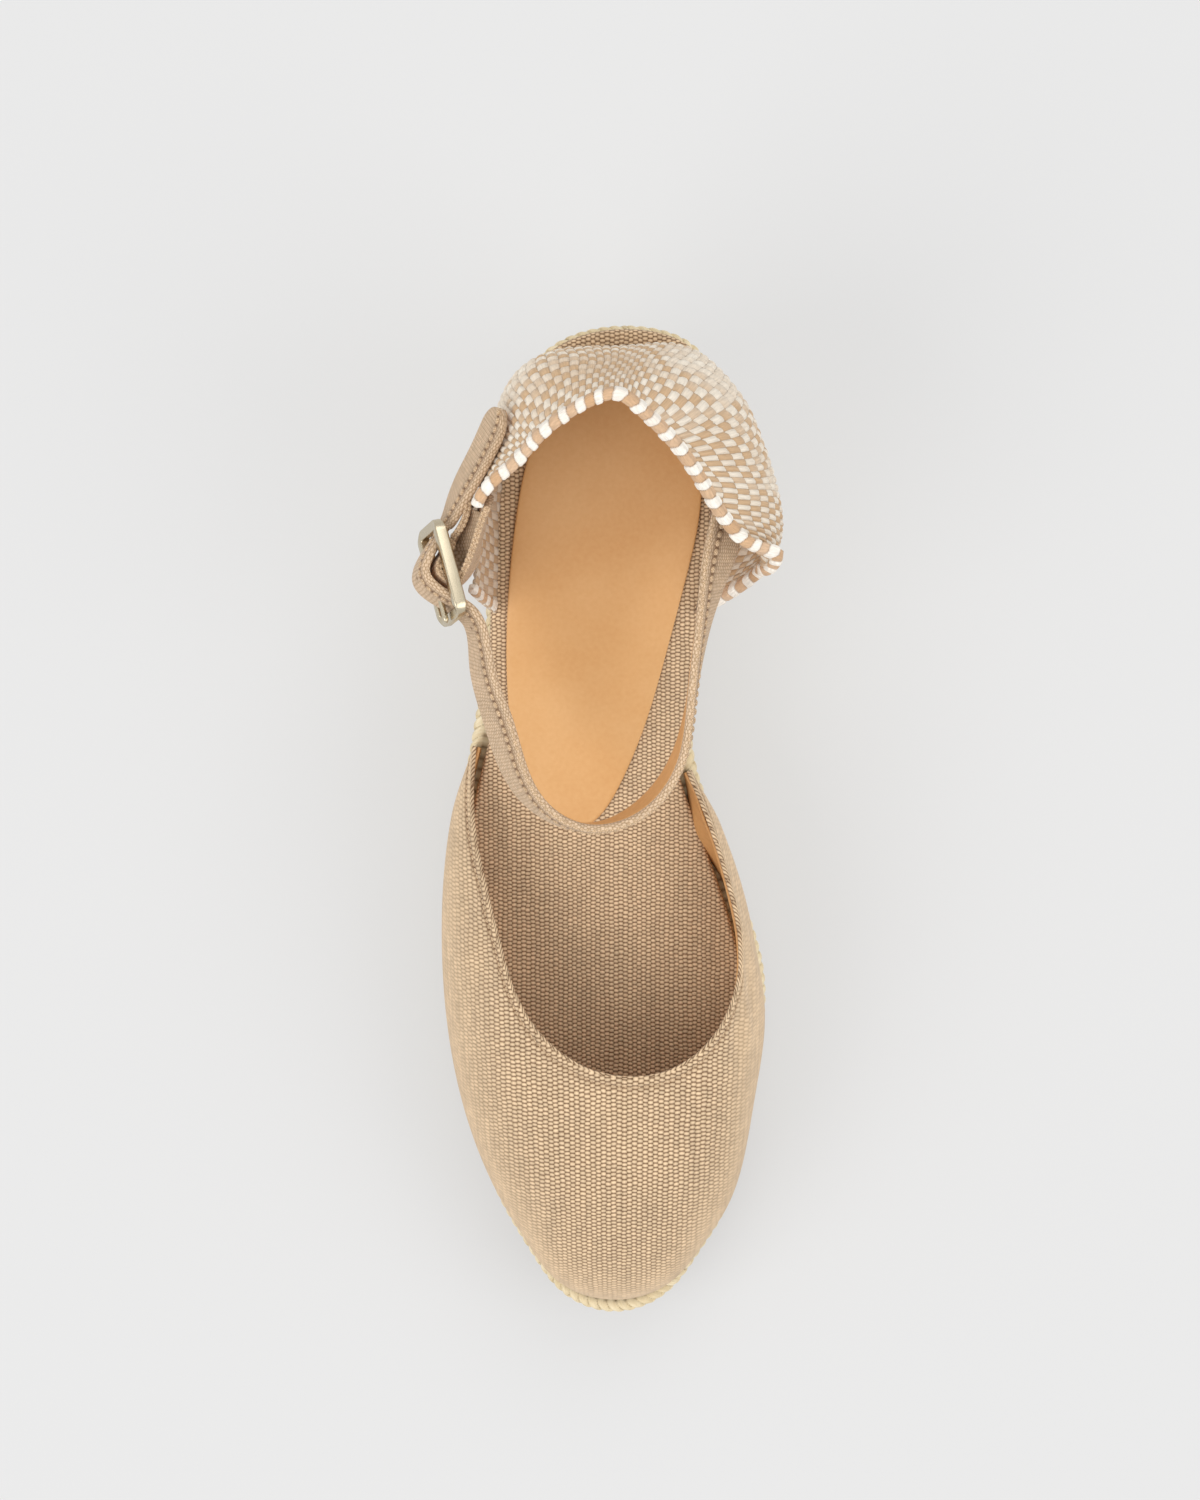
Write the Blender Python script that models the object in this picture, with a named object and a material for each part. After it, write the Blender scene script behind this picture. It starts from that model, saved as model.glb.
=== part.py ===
"""Wedge espadrille for the right foot, as the separate pieces that a maker puts together.

Frame: +Z up, toe towards -Y, inner side of the foot towards +X, origin on the floor under the
middle of the shoe. Sizes below are in millimetres and become metres when a mesh is made.
"""

import math
from collections import namedtuple

import bmesh
import bpy
import numpy as np

MM = 0.001
GAP = 0.3

# Driving dimensions of the last and the sole
LENGTH = 242.8
BALL_WIDTH = 81.2
HEEL_HEIGHT = 80.0
BALL_HEIGHT = 25.0
INSTEP_HEIGHT = 36.0
COUNTER_HEIGHT = 50.0
TOE_SPRING = 8.0
FLAT_TREAD = 172.0

# Thickness of each layer and wall
OUTSOLE = 4.0
PLATFORM = 9.0
FOOTBED = 4.0
SOCK = 1.0
VAMP_WALL = 2.0
COUNTER_WALL = 2.6
COUNTER_RIM = 3.8

# Jute rows wound round the wedge
ROW_HEIGHT = 8.2
ROW_GROOVE = 0.9
SIDE_TAPER = 1.5
HEEL_RAKE = 8.0

# Ankle strap, its tab and the buckle
STRAP_WIDTH = 12.0
STRAP_THICK = 2.2
TAB_THICK = 1.6
FRAME_LENGTH = 24.0
FRAME_HEIGHT = 18.0
FRAME_BAR = 2.4
FRAME_THICK = 2.0
FRAME_CORNER = 2.6
CENTRE_BAR_RADIUS = 0.9
PRONG_RADIUS = 0.7

# Fineness of the faceted surfaces
SIDE_STEPS = 44
END_CROWDING = 0.95
VAMP_COLUMNS, VAMP_ROWS = 56, 10
COUNTER_COLUMNS = 46
STRAP_STEPS = 84
TAB_STEPS = 40
TIP_STEPS = 5

# Sole edge: share of LENGTH from the heel, share of BALL_WIDTH from the centre line
Landmark = namedtuple("Landmark", "along across")
SOLE_EDGE = {
    "heel back": Landmark(0.000, 0.074),
    "heel inner round": Landmark(0.021, 0.285),
    "heel inner": Landmark(0.115, 0.372),
    "seat inner": Landmark(0.256, 0.342),
    "shank inner": Landmark(0.340, 0.288),
    "waist inner": Landmark(0.400, 0.277),
    "arch front inner": Landmark(0.487, 0.352),
    "ball rear inner": Landmark(0.595, 0.465),
    "ball inner": Landmark(0.690, 0.512),
    "tread inner": Landmark(0.789, 0.474),
    "toe inner": Landmark(0.900, 0.388),
    "toe front inner": Landmark(0.938, 0.315),
    "toe round inner": Landmark(0.972, 0.237),
    "toe tip": Landmark(1.000, 0.050),
    "toe round outer": Landmark(0.974, -0.140),
    "toe front outer": Landmark(0.938, -0.221),
    "toe outer": Landmark(0.900, -0.291),
    "tread outer": Landmark(0.795, -0.419),
    "ball outer": Landmark(0.628, -0.484),
    "arch front outer": Landmark(0.487, -0.446),
    "waist outer": Landmark(0.380, -0.370),
    "seat outer": Landmark(0.256, -0.337),
    "heel outer": Landmark(0.116, -0.305),
    "heel outer round": Landmark(0.023, -0.155),
}

# Footbed line: share of LENGTH from the heel, share of the way up from BALL_HEIGHT to HEEL_HEIGHT
Level = namedtuple("Level", "along rise")
FOOTBED_LINE = (
    Level(0.00, 1.000),
    Level(0.11, 0.940),
    Level(0.22, 0.820),
    Level(0.32, 0.640),
    Level(0.42, 0.415),
    Level(0.53, 0.215),
    Level(0.63, 0.090),
    Level(0.74, 0.018),
    Level(0.84, 0.000),
    Level(0.94, 0.030),
    Level(1.00, 0.070),
)

# Vamp topline, outer rear corner to inner rear corner: mm from heel, mm from the centre line,
# and the rise above the footbed as a share of INSTEP_HEIGHT
Topline = namedtuple("Topline", "along across rise")
VAMP_TOPLINE = (
    Topline(101.5, -31.4, 0.04),
    Topline(116.5, -31.8, 0.30),
    Topline(133.0, -29.2, 0.55),
    Topline(149.0, -25.2, 0.75),
    Topline(163.8, -20.4, 0.87),
    Topline(174.6, -12.6, 0.94),
    Topline(181.1, -2.0, 0.99),
    Topline(182.7, 6.2, 1.00),
    Topline(181.8, 14.9, 0.99),
    Topline(176.6, 24.5, 0.95),
    Topline(166.2, 32.0, 0.87),
    Topline(152.5, 35.0, 0.75),
    Topline(134.0, 31.8, 0.53),
    Topline(121.0, 27.7, 0.34),
    Topline(107.5, 22.2, 0.04),
)
VAMP_WALL_LIFT = 0.50
VAMP_CROWN = 0.50
VAMP_FALL = 0.15
VAMP_BULGE_OUTER = 1.6
VAMP_BULGE_INNER = 0.6

# Edge of the upper on the platform, in from the sole edge, at the outer side, inner side and toe
FEATHER_OUTER = 1.0
FEATHER_INNER = 2.0
FEATHER_TOE = 3.0
FOOTBED_MARGIN = 0.9
FOOTBED_EASE_FROM = 14.0
FOOTBED_EASE_TO = 3.0

# Heel counter, outer front edge to inner front edge. Share of the way round the heel, seat of the
# wall in from the sole edge, top edge (mm from heel, mm from the centre line, share of
# COUNTER_HEIGHT above the heel seat), and how far the slack wall bellies out low and high
Wall = namedtuple("Wall", "around seat_in along across height belly_low belly_high")
COUNTER_SEAT_ALONG = 69.0
COUNTER_WALLS = (
    Wall(0.00, 1.4, 62.8, -32.6, 0.63, 1.0, 1.2),
    Wall(0.08, 1.5, 53.2, -30.6, 0.69, 2.0, 1.4),
    Wall(0.17, 1.7, 43.4, -27.8, 0.76, 4.5, 1.8),
    Wall(0.27, 2.2, 35.0, -21.0, 0.82, 12.0, 1.5),
    Wall(0.37, 3.4, 27.5, -13.5, 0.90, 15.5, 3.0),
    Wall(0.50, 5.0, 18.6, 2.3, 1.00, 5.0, 1.0),
    Wall(0.61, 3.6, 24.0, 10.0, 0.96, 13.5, 9.5),
    Wall(0.71, 2.2, 31.5, 16.5, 0.90, 18.0, 18.5),
    Wall(0.81, 1.4, 40.5, 22.5, 0.83, 20.0, 25.0),
    Wall(0.90, 1.1, 48.5, 28.9, 0.77, 18.0, 22.0),
    Wall(0.96, 1.0, 52.6, 36.4, 0.69, 11.0, 12.0),
    Wall(1.00, 1.0, 54.6, 43.9, 0.62, 4.0, 3.0),
)
COUNTER_LEVELS = (0.0, 0.13, 0.27, 0.41, 0.55, 0.69, 0.82, 0.90, 0.935, 1.0)
COUNTER_RIM_FROM = 0.92
COUNTER_END_RIM = 0.03
COUNTER_THIN_TO = 0.21
COUNTER_RIM_FULL = 0.27

# Leather sock on the footbed: mm from heel, mm from the centre line
SOCK_EDGE = {
    "heel back": Landmark(10.5, 4.0),
    "heel inner": Landmark(18.0, 18.5),
    "seat inner": Landmark(40.0, 24.6),
    "quarter inner": Landmark(62.0, 20.6),
    "waist inner": Landmark(84.0, 14.8),
    "front inner": Landmark(108.0, 6.4),
    "tip": Landmark(121.5, -5.0),
    "front outer": Landmark(113.0, -16.0),
    "waist outer": Landmark(92.0, -22.4),
    "quarter outer": Landmark(66.0, -22.4),
    "seat outer": Landmark(44.0, -20.0),
    "heel outer": Landmark(20.0, -11.5),
}

# Ankle strap before and after the buckle: mm from heel, mm from the centre line, height above the
# floor, and lean of its upper edge towards the ankle in degrees
Station = namedtuple("Station", "along across height lean")
STRAP_FROM_COUNTER = (
    Station(44.0, 31.5, 106.0, 40.0),
    Station(54.0, 29.0, 104.0, 38.0),
    Station(69.5, 25.3, 101.0, 15.0),
    Station(90.5, 21.8, 97.5, 0.0),
    Station(104.9, 18.6, 94.5, -12.0),
    Station(116.8, 9.6, 92.5, -14.0),
    Station(121.1, -3.6, 92.0, 0.0),
    Station(113.7, -16.7, 92.8, 18.0),
    Station(95.3, -24.4, 95.0, 30.0),
    Station(83.5, -27.9, 97.6, 24.0),
)
STRAP_TAIL = (
    Station(43.0, -34.0, 101.2, 22.0),
    Station(34.5, -29.3, 104.2, 27.0),
    Station(22.0, -23.3, 108.6, 30.0),
)

# Buckle: place of its centre bar, and the turn and tilt of its frame in degrees
BUCKLE_AT = Station(60.4, -37.6, 100.5, 0.0)
BUCKLE_TURN = 14.7
BUCKLE_TILT = 17.4
BUCKLE_PITCH = -6.3

# Path of strap and tab past the buckle: mm along the frame towards the heel, mm out from its plane
Pass = namedtuple("Pass", "along out")
STRAP_THROUGH_FRAME = (
    Pass(-11.3, -3.8),
    Pass(-5.6, 1.8),
    Pass(0.0, 5.2),
    Pass(5.6, 1.8),
    Pass(11.3, -3.8),
)
TAB_ROUND_BAR = (
    Pass(-8.7, -6.6),
    Pass(-7.6, -4.0),
    Pass(-4.7, -1.5),
    Pass(-2.2, 0.7),
    Pass(-0.5, 2.1),
    Pass(1.5, 1.6),
    Pass(3.6, -0.7),
    Pass(6.4, -3.9),
)

# Legs of the tab on the counter: share of the way round the heel, share of the way up the wall
Leg = namedtuple("Leg", "around level")
TAB_INNER_LEG = (Leg(0.20, 0.86), Leg(0.13, 0.83), Leg(0.06, 0.78))
TAB_OUTER_LEG = (Leg(0.112, 0.75),)
TAB_CLEAR = 0.7
TAB_CLEAR_OUTSIDE = 1.4

# Base colour, roughness and metallic value of each material
Finish = namedtuple("Finish", "colour roughness metallic")
FINISHES = {
    "rubber": Finish((0.42, 0.30, 0.19), 0.80, 0.0),
    "jute": Finish((0.68, 0.55, 0.33), 0.95, 0.0),
    "canvas": Finish((0.60, 0.44, 0.30), 0.95, 0.0),
    "leather": Finish((0.65, 0.38, 0.16), 0.55, 0.0),
    "weave": Finish((0.74, 0.62, 0.48), 0.95, 0.0),
    "pale gold": Finish((0.80, 0.71, 0.52), 0.22, 1.0),
}


def spline_bends(knots, values, closed):
    """Second derivatives at the knots of the cubic spline through the values."""
    step = np.diff(knots)
    slope = np.diff(values, axis=0) / step[:, None]
    count = len(knots)
    system = np.zeros((count, count))
    right = np.zeros(values.shape)
    for i in range(1, count - 1):
        system[i, i - 1 : i + 2] = step[i - 1], 2 * (step[i - 1] + step[i]), step[i]
        right[i] = 6 * (slope[i] - slope[i - 1])
    if closed:
        system[0, [0, -1]] = 1, -1
        system[-1, [0, 1, -2, -1]] = 2 * step[0], step[0], step[-1], 2 * step[-1]
        right[-1] = 6 * (slope[0] - slope[-1])
    else:
        system[0, 0] = system[-1, -1] = 1
    return np.linalg.solve(system, right)


def spline(knots, values, where, closed=False):
    """Cubic spline through values at the knots, read at the places in where."""
    knots = np.asarray(knots, float)
    values = np.asarray(values, float).reshape(len(knots), -1)
    where = np.asarray(where, float)
    bend = spline_bends(knots, values, closed)
    i = np.clip(np.searchsorted(knots, where, "right") - 1, 0, len(knots) - 2)
    step = (knots[i + 1] - knots[i])[..., None]
    b = (where[..., None] - knots[i][..., None]) / step
    a = 1 - b
    curve = ((a**3 - a) * bend[i] + (b**3 - b) * bend[i + 1]) * step**2 / 6
    return a * values[i] + b * values[i + 1] + curve


def chord(points):
    """Running chord length along points."""
    steps = np.linalg.norm(np.diff(np.asarray(points, float), axis=0), axis=1)
    return np.concatenate([[0.0], np.cumsum(steps)])


def even(points, count):
    """The polyline's points read again at equal steps of its length."""
    run = chord(points)
    places = np.linspace(0, run[-1], count)
    return np.stack([np.interp(places, run, points[:, k]) for k in range(points.shape[1])], 1)


def unit(vectors):
    return vectors / np.linalg.norm(vectors, axis=-1, keepdims=True)


def ease(value, low, high):
    """Smooth step from 0 at low to 1 at high."""
    t = np.clip((value - low) / (high - low), 0, 1)
    return t * t * (3 - 2 * t)


def place(along, across, height):
    """Point in the shoe's frame from the distance to the heel, the side and the height."""
    return np.stack(np.broadcast_arrays(across, LENGTH / 2 - along, height), -1).astype(float)


def footbed_height(along):
    """Height of the footbed's surface at a distance from the heel."""
    line = np.array(FOOTBED_LINE)
    rise = spline(line[:, 0] * LENGTH, line[:, 1], along)[..., 0]
    return BALL_HEIGHT + (HEEL_HEIGHT - BALL_HEIGHT) * rise


def floor_height(along):
    """Height of the tread: flat, then lifted along a parabola to the toe spring."""
    beyond = np.clip((along - FLAT_TREAD) / (LENGTH - FLAT_TREAD), 0, None)
    return TOE_SPRING * beyond**2


def loop_edge(marks, tip_name, side_steps):
    """Points round a closed edge: first mark, along one side to the tip, and back along the other.

    The edge is the closed cubic spline through the marks, in (along, across). Both sides have
    points at the same distances from the heel, closer together towards the ends.
    """
    points = np.array([*marks.values(), next(iter(marks.values()))], float)
    knots = chord(points)
    tip = knots[list(marks).index(tip_name)]
    fine = 40 * side_steps
    first = spline(knots, points, np.linspace(0, tip, fine), closed=True)
    second = spline(knots, points, np.linspace(knots[-1], tip, fine), closed=True)
    share = np.linspace(0, 1, side_steps + 1)
    share = END_CROWDING * (1 - np.cos(math.pi * share)) / 2 + (1 - END_CROWDING) * share
    along = points[0, 0] + (first[-1, 0] - points[0, 0]) * share
    sides = []
    for side in (first, second):
        across = np.interp(along, np.maximum.accumulate(side[:, 0]), side[:, 1])
        sides.append(np.stack([along, across], 1))
    return np.vstack([sides[0], sides[1][-2:0:-1]])


def edge_normals(edge):
    """Outward normals of a closed edge, in (along, across)."""
    run = unit(np.roll(edge, -1, axis=0) - np.roll(edge, 1, axis=0))
    return np.stack([-run[:, 1], run[:, 0]], 1)


def sole_edge():
    marks = {name: Landmark(m.along * LENGTH, m.across * BALL_WIDTH) for name, m in SOLE_EDGE.items()}
    return loop_edge(marks, "toe tip", SIDE_STEPS)


def feather_inset(normals):
    """How far in from the sole edge the upper stands, from the way the edge faces."""
    side = np.where(normals[:, 1] < 0, FEATHER_OUTER, FEATHER_INNER)
    return side * normals[:, 1] ** 2 + FEATHER_TOE * normals[:, 0] ** 2


def vamp_corner(across):
    """Distance from the heel of the vamp's rear corner on the side that across lies."""
    return np.where(across < 0, VAMP_TOPLINE[0].along, VAMP_TOPLINE[-1].along)


def rake_inset(normals, height):
    """How far the wedge's wall lies in from the sole edge at a height: raked at the heel's back."""
    backwards = np.clip(-normals[:, 0], 0, 1) ** 2
    reach = SIDE_TAPER + (HEEL_RAKE - SIDE_TAPER) * backwards
    return reach * (1 - height / HEEL_HEIGHT)


def make_material(name):
    finish = FINISHES[name]
    material = bpy.data.materials.new(name)
    material.use_nodes = True
    shader = material.node_tree.nodes["Principled BSDF"]
    shader.inputs["Base Color"].default_value = (*finish.colour, 1.0)
    shader.inputs["Roughness"].default_value = finish.roughness
    shader.inputs["Metallic"].default_value = finish.metallic
    return material


def add_object(name, mesh_maker, material, smooth_angle=40):
    """Object from a bmesh that is filled in millimetres, with its faces turned outwards."""
    mesh = bpy.data.meshes.new(name)
    shape = bmesh.new()
    mesh_maker(shape)
    bmesh.ops.scale(shape, vec=(MM, MM, MM), verts=shape.verts)
    bmesh.ops.recalc_face_normals(shape, faces=shape.faces)
    shape.to_mesh(mesh)
    shape.free()
    mesh.shade_smooth()
    mesh.set_sharp_from_angle(angle=math.radians(smooth_angle))
    mesh.materials.append(material)
    obj = bpy.data.objects.new(name, mesh)
    bpy.context.scene.collection.objects.link(obj)
    return obj


def new_face(shape, corners):
    """Face on the corners that differ, or none where they fall together."""
    distinct = list(dict.fromkeys(corners))
    if len(distinct) > 2:
        shape.faces.new(distinct)


def join_columns(shape, columns, closed=True):
    """Faces between neighbouring columns of vertices."""
    pairs = zip(columns, columns[1:] + columns[:1]) if closed else zip(columns, columns[1:])
    for left, right in pairs:
        for k in range(len(left) - 1):
            new_face(shape, (left[k], left[k + 1], right[k + 1], right[k]))


def cap_across(shape, ring):
    """Closes a ring by faces from one side of the shoe to the other."""
    half = len(ring) // 2
    for k in range(half):
        new_face(shape, (ring[k], ring[k + 1], ring[-k - 1], ring[-k] if k else ring[0]))


def layer(shape, edge, inset, heights):
    """Flat layer of the sole: rings with an inset from the edge and a height from its place.

    inset is a list of arrays, one for each ring, and heights a list of functions of along.
    """
    normals = edge_normals(edge)
    columns = [[] for _ in edge]
    for ring_inset, height in zip(inset, heights):
        ring = edge - normals * np.broadcast_to(ring_inset, len(edge))[:, None]
        points = place(ring[:, 0], ring[:, 1], height(ring[:, 0]))
        for column, point in zip(columns, points):
            column.append(shape.verts.new(point))
    join_columns(shape, columns)
    cap_across(shape, [column[0] for column in columns])
    cap_across(shape, [column[-1] for column in columns])


def outsole(shape):
    edge = sole_edge()
    base = rake_inset(edge_normals(edge), 0.0) + 0.6
    layer(
        shape,
        edge,
        [base + 0.8, base, base],
        [floor_height, lambda d: floor_height(d) + 0.8, lambda d: floor_height(d) + OUTSOLE],
    )


def wedge_top(along):
    return footbed_height(along) - FOOTBED - PLATFORM - 2 * GAP


def wedge(shape):
    """Wedge wound with level rows: each row is a rib, cut off by the platform above it."""
    edge = sole_edge()
    normals = edge_normals(edge)
    low = floor_height(edge[:, 0]) + OUTSOLE + GAP
    top_inset = rake_inset(normals, wedge_top(edge[:, 0]))
    high = wedge_top(edge[:, 0] - normals[:, 0] * top_inset)
    profile = ((0.0, -ROW_GROOVE), (0.25, 0.0), (0.75, 0.0), (1.0, -ROW_GROOVE))
    phases, offsets = np.array(profile).T
    rows = math.ceil(HEEL_HEIGHT / ROW_HEIGHT)
    levels = [OUTSOLE + GAP + ROW_HEIGHT * (row + p) for row in range(rows) for p in phases[:-1]]
    shortest = 0.5
    columns = [[] for _ in edge]
    for level in [low.min(), *levels, high.max()]:
        height = np.clip(level, low, high)
        height = np.where(height - low < shortest, low, height)
        height = np.where(high - height < shortest, high, height)
        phase = ((height - OUTSOLE - GAP) / ROW_HEIGHT) % 1.0
        out = np.interp(phase, phases, offsets) - rake_inset(normals, height)
        ring = edge + normals * out[:, None]
        for column, point in zip(columns, place(ring[:, 0], ring[:, 1], height)):
            same = column and abs(column[-1].co.z - point[2]) < shortest / 2
            column.append(column[-1] if same else shape.verts.new(point))
    join_columns(shape, columns)
    cap_across(shape, [column[0] for column in columns])
    cap_across(shape, [column[-1] for column in columns])


def platform(shape):
    """Braid layer that follows the footbed, with a rounded side."""
    rounding = ((0.0, 1.3), (0.18, 0.35), (0.5, 0.0), (0.82, 0.35), (1.0, 1.3))
    below = FOOTBED + PLATFORM + GAP

    def ring_height(share):
        return lambda d: footbed_height(d) - below + PLATFORM * share

    layer(shape, sole_edge(), [inset for _, inset in rounding], [ring_height(s) for s, _ in rounding])


def footbed_inset(edge, normals):
    """Footbed edge: near the sole edge at heel and waist, inside the vamp's wall from there on."""
    corner = vamp_corner(edge[:, 1])
    in_vamp = ease(edge[:, 0], corner - FOOTBED_EASE_FROM, corner - FOOTBED_EASE_TO)
    inside = feather_inset(normals) + VAMP_WALL + 4 * GAP
    return FOOTBED_MARGIN + (inside - FOOTBED_MARGIN) * in_vamp


def footbed(shape):
    edge = sole_edge()
    inset = footbed_inset(edge, edge_normals(edge))
    layer(
        shape,
        edge,
        [inset + 0.8, inset, inset, inset + 1.2],
        [
            lambda d: footbed_height(d) - FOOTBED,
            lambda d: footbed_height(d) - FOOTBED + 0.9,
            lambda d: footbed_height(d) - 1.1,
            footbed_height,
        ],
    )


def sock(shape):
    edge = loop_edge(SOCK_EDGE, "tip", SIDE_STEPS // 2)
    layer(
        shape,
        edge,
        [0.0, 0.0, 0.4],
        [
            lambda d: footbed_height(d) + GAP,
            lambda d: footbed_height(d) + GAP + SOCK * 0.6,
            lambda d: footbed_height(d) + GAP + SOCK,
        ],
    )


def bezier(starts, first, second, ends, levels):
    """Cubic curves from starts to ends, one for each column, read at the levels."""
    t = np.asarray(levels)[None, :, None]
    a, b, c, d = (points[:, None, :] for points in (starts, first, second, ends))
    return (1 - t) ** 3 * a + 3 * (1 - t) ** 2 * t * b + 3 * (1 - t) * t**2 * c + t**3 * d


def surface_normals(grid):
    """Unit normals of a grid of points, from its own differences."""
    return unit(np.cross(np.gradient(grid, axis=0), np.gradient(grid, axis=1)))


def shell(shape, grid, normals, thickness):
    """Closed wall between a grid of points and its copy, moved against the normals."""
    inner = grid - normals * np.broadcast_to(thickness, grid.shape[:2])[..., None]
    front = [[shape.verts.new(p) for p in column] for column in grid]
    back = [[shape.verts.new(p) for p in column] for column in inner]
    loops = [f + b[::-1] + f[:1] for f, b in zip(front, back)]
    join_columns(shape, loops, closed=False)
    for f, b in ((front[0], back[0]), (front[-1], back[-1])):
        for k in range(len(f) - 1):
            new_face(shape, (f[k], f[k + 1], b[k + 1], b[k]))


def vamp_feather():
    """Lower edge of the vamp and its outward normals: outer rear corner, toe, inner rear corner."""
    edge = sole_edge()
    normals = edge_normals(edge)
    feather = edge - normals * feather_inset(normals)[:, None]
    loop = np.hstack([feather, normals])[::-1]
    run = chord(loop[:, :2])
    toe = np.argmax(loop[:, 0])
    outer = np.interp(VAMP_TOPLINE[0].along, loop[:toe, 0], run[:toe])
    inner = np.interp(-VAMP_TOPLINE[-1].along, -loop[toe:, 0], run[toe:])
    places = np.linspace(outer, inner, VAMP_COLUMNS + 1)
    read = np.stack([np.interp(places, run, loop[:, k]) for k in range(4)], 1)
    return read[:, :2], unit(read[:, 2:])


def vamp(shape):
    """Hollow forepart: walls from the feather edge to the topline, open there and underneath."""
    feather, out = vamp_feather()
    base = place(feather[:, 0], feather[:, 1], footbed_height(feather[:, 0]) - FOOTBED)
    marks = np.array(VAMP_TOPLINE)
    top = even(spline(chord(marks[:, :2]), marks, np.linspace(0, chord(marks[:, :2])[-1], 600)), len(base))
    top = place(top[:, 0], top[:, 1], footbed_height(top[:, 0]) + INSTEP_HEIGHT * top[:, 2])
    fall = base - top
    bulge = np.where(out[:, 1] < 0, VAMP_BULGE_OUTER, VAMP_BULGE_INNER) * out[:, 1] ** 2
    first = base - fall * (0, 0, VAMP_WALL_LIFT) + place_out(out) * bulge[:, None]
    second = top + fall * (VAMP_CROWN, VAMP_CROWN, VAMP_FALL)
    grid = bezier(base, first, second, top, np.linspace(0, 1, VAMP_ROWS + 1))
    normals = surface_normals(grid)
    normals[:, 0, 2] = 0
    shell(shape, grid, unit(normals), VAMP_WALL)


def place_out(out):
    """Directions in (along, across) as directions in the shoe's frame."""
    return np.stack([out[:, 1], -out[:, 0], np.zeros(len(out))], 1)


def counter_seat(around, seat_in):
    """Foot of the counter's wall and its outward normals, outer front to inner front."""
    edge = sole_edge()
    both = np.hstack([edge, edge_normals(edge)])
    loop = np.roll(both, len(both) // 2, axis=0)
    run = chord(loop[:, :2])
    back = np.argmin(loop[:, 0])
    outer = np.interp(-COUNTER_SEAT_ALONG, -loop[:back, 0], run[:back])
    inner = np.interp(COUNTER_SEAT_ALONG, loop[back:, 0], run[back:])
    places = outer + (inner - outer) * np.asarray(around)
    read = np.stack([np.interp(places, run, loop[:, k]) for k in range(4)], 1)
    out = unit(read[:, 2:])
    foot = read[:, :2] - out * np.asarray(seat_in)[:, None]
    return place(foot[:, 0], foot[:, 1], footbed_height(foot[:, 0]) + GAP), place_out(out)


def counter_grid(around, levels):
    """Outer face of the counter: slack curves from its seat to its top edge."""
    table = np.array(COUNTER_WALLS)
    walls = spline(table[:, 0], table[:, 1:], around)
    seat_in, along, across, height, belly_low, belly_high = walls.T
    seat, out = counter_seat(around, seat_in)
    top = place(along, across, HEEL_HEIGHT + COUNTER_HEIGHT * height)
    rise = top - seat
    first = seat + rise / 3 + out * belly_low[:, None]
    second = seat + rise * 2 / 3 + out * belly_high[:, None]
    return bezier(seat, first, second, top, levels)


def counter(shape):
    """Hollow heel counter, open at top, front and underneath, with a thicker bound edge.

    The edge is thin at the outer front, where the legs of the buckle's tab hold it between them.
    """
    columns = np.linspace(0, 1, COUNTER_COLUMNS + 1)
    around = np.sort(np.concatenate([columns, [COUNTER_END_RIM, 1 - COUNTER_END_RIM]]))
    grid = counter_grid(around, COUNTER_LEVELS)
    normals = -surface_normals(grid)
    normals[:, 0, 2] = 0
    normals = unit(normals)
    at_top = np.array(COUNTER_LEVELS)[None, :] > COUNTER_RIM_FROM
    at_end = np.minimum(around, 1 - around)[:, None] < COUNTER_END_RIM
    raised = np.where(at_top | at_end, (COUNTER_RIM - COUNTER_WALL) / 2, 0.0)
    raised *= ease(around, COUNTER_THIN_TO, COUNTER_RIM_FULL)[:, None]
    raised[:, 0] = 0.0
    shell(shape, grid + normals * raised[..., None], normals, COUNTER_WALL + 2 * raised)


def counter_place(around, level, out):
    """Point at a distance out from the counter's outer face, and the way up the wall there."""
    step = 0.02
    grid = counter_grid(np.array([around - step, around, around + step]), [level - step, level, level + step])
    normal = -surface_normals(grid)[1, 1]
    return grid[1, 1] + normal * out, unit(grid[1, 2] - grid[1, 0])


def buckle_axes():
    """Directions of the buckle: towards the heel along the strap, up its width, and outwards."""
    turn, tilt, pitch = (math.radians(a) for a in (BUCKLE_TURN, BUCKLE_TILT, BUCKLE_PITCH))
    heelward = np.array([-math.sin(turn) * math.cos(pitch), math.cos(turn) * math.cos(pitch), math.sin(pitch)])
    outward = np.array([-math.cos(turn) * math.cos(tilt), -math.sin(turn) * math.cos(tilt), math.sin(tilt)])
    outward = unit(outward - heelward * (outward @ heelward))
    return heelward, np.cross(heelward, outward), outward


def buckle_point(along, up, out):
    """Point in the buckle's own directions from its centre bar."""
    centre = place(BUCKLE_AT.along, BUCKLE_AT.across, BUCKLE_AT.height)
    heelward, upward, outward = buckle_axes()
    return centre + heelward * along + upward * up + outward * out


def leaning_stations(stations):
    """Points of strap stations and the directions of the strap's width, leaning to the ankle."""
    table = np.array(stations)
    points = place(table[:, 0], table[:, 1], table[:, 2])
    run = unit(np.gradient(points, axis=0))
    up = unit(np.array([0, 0, 1.0]) - run * run[:, 2:])
    inward = np.cross(run, up)
    lean = np.radians(table[:, 3])[:, None]
    return points, up * np.cos(lean) + inward * np.sin(lean)


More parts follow.
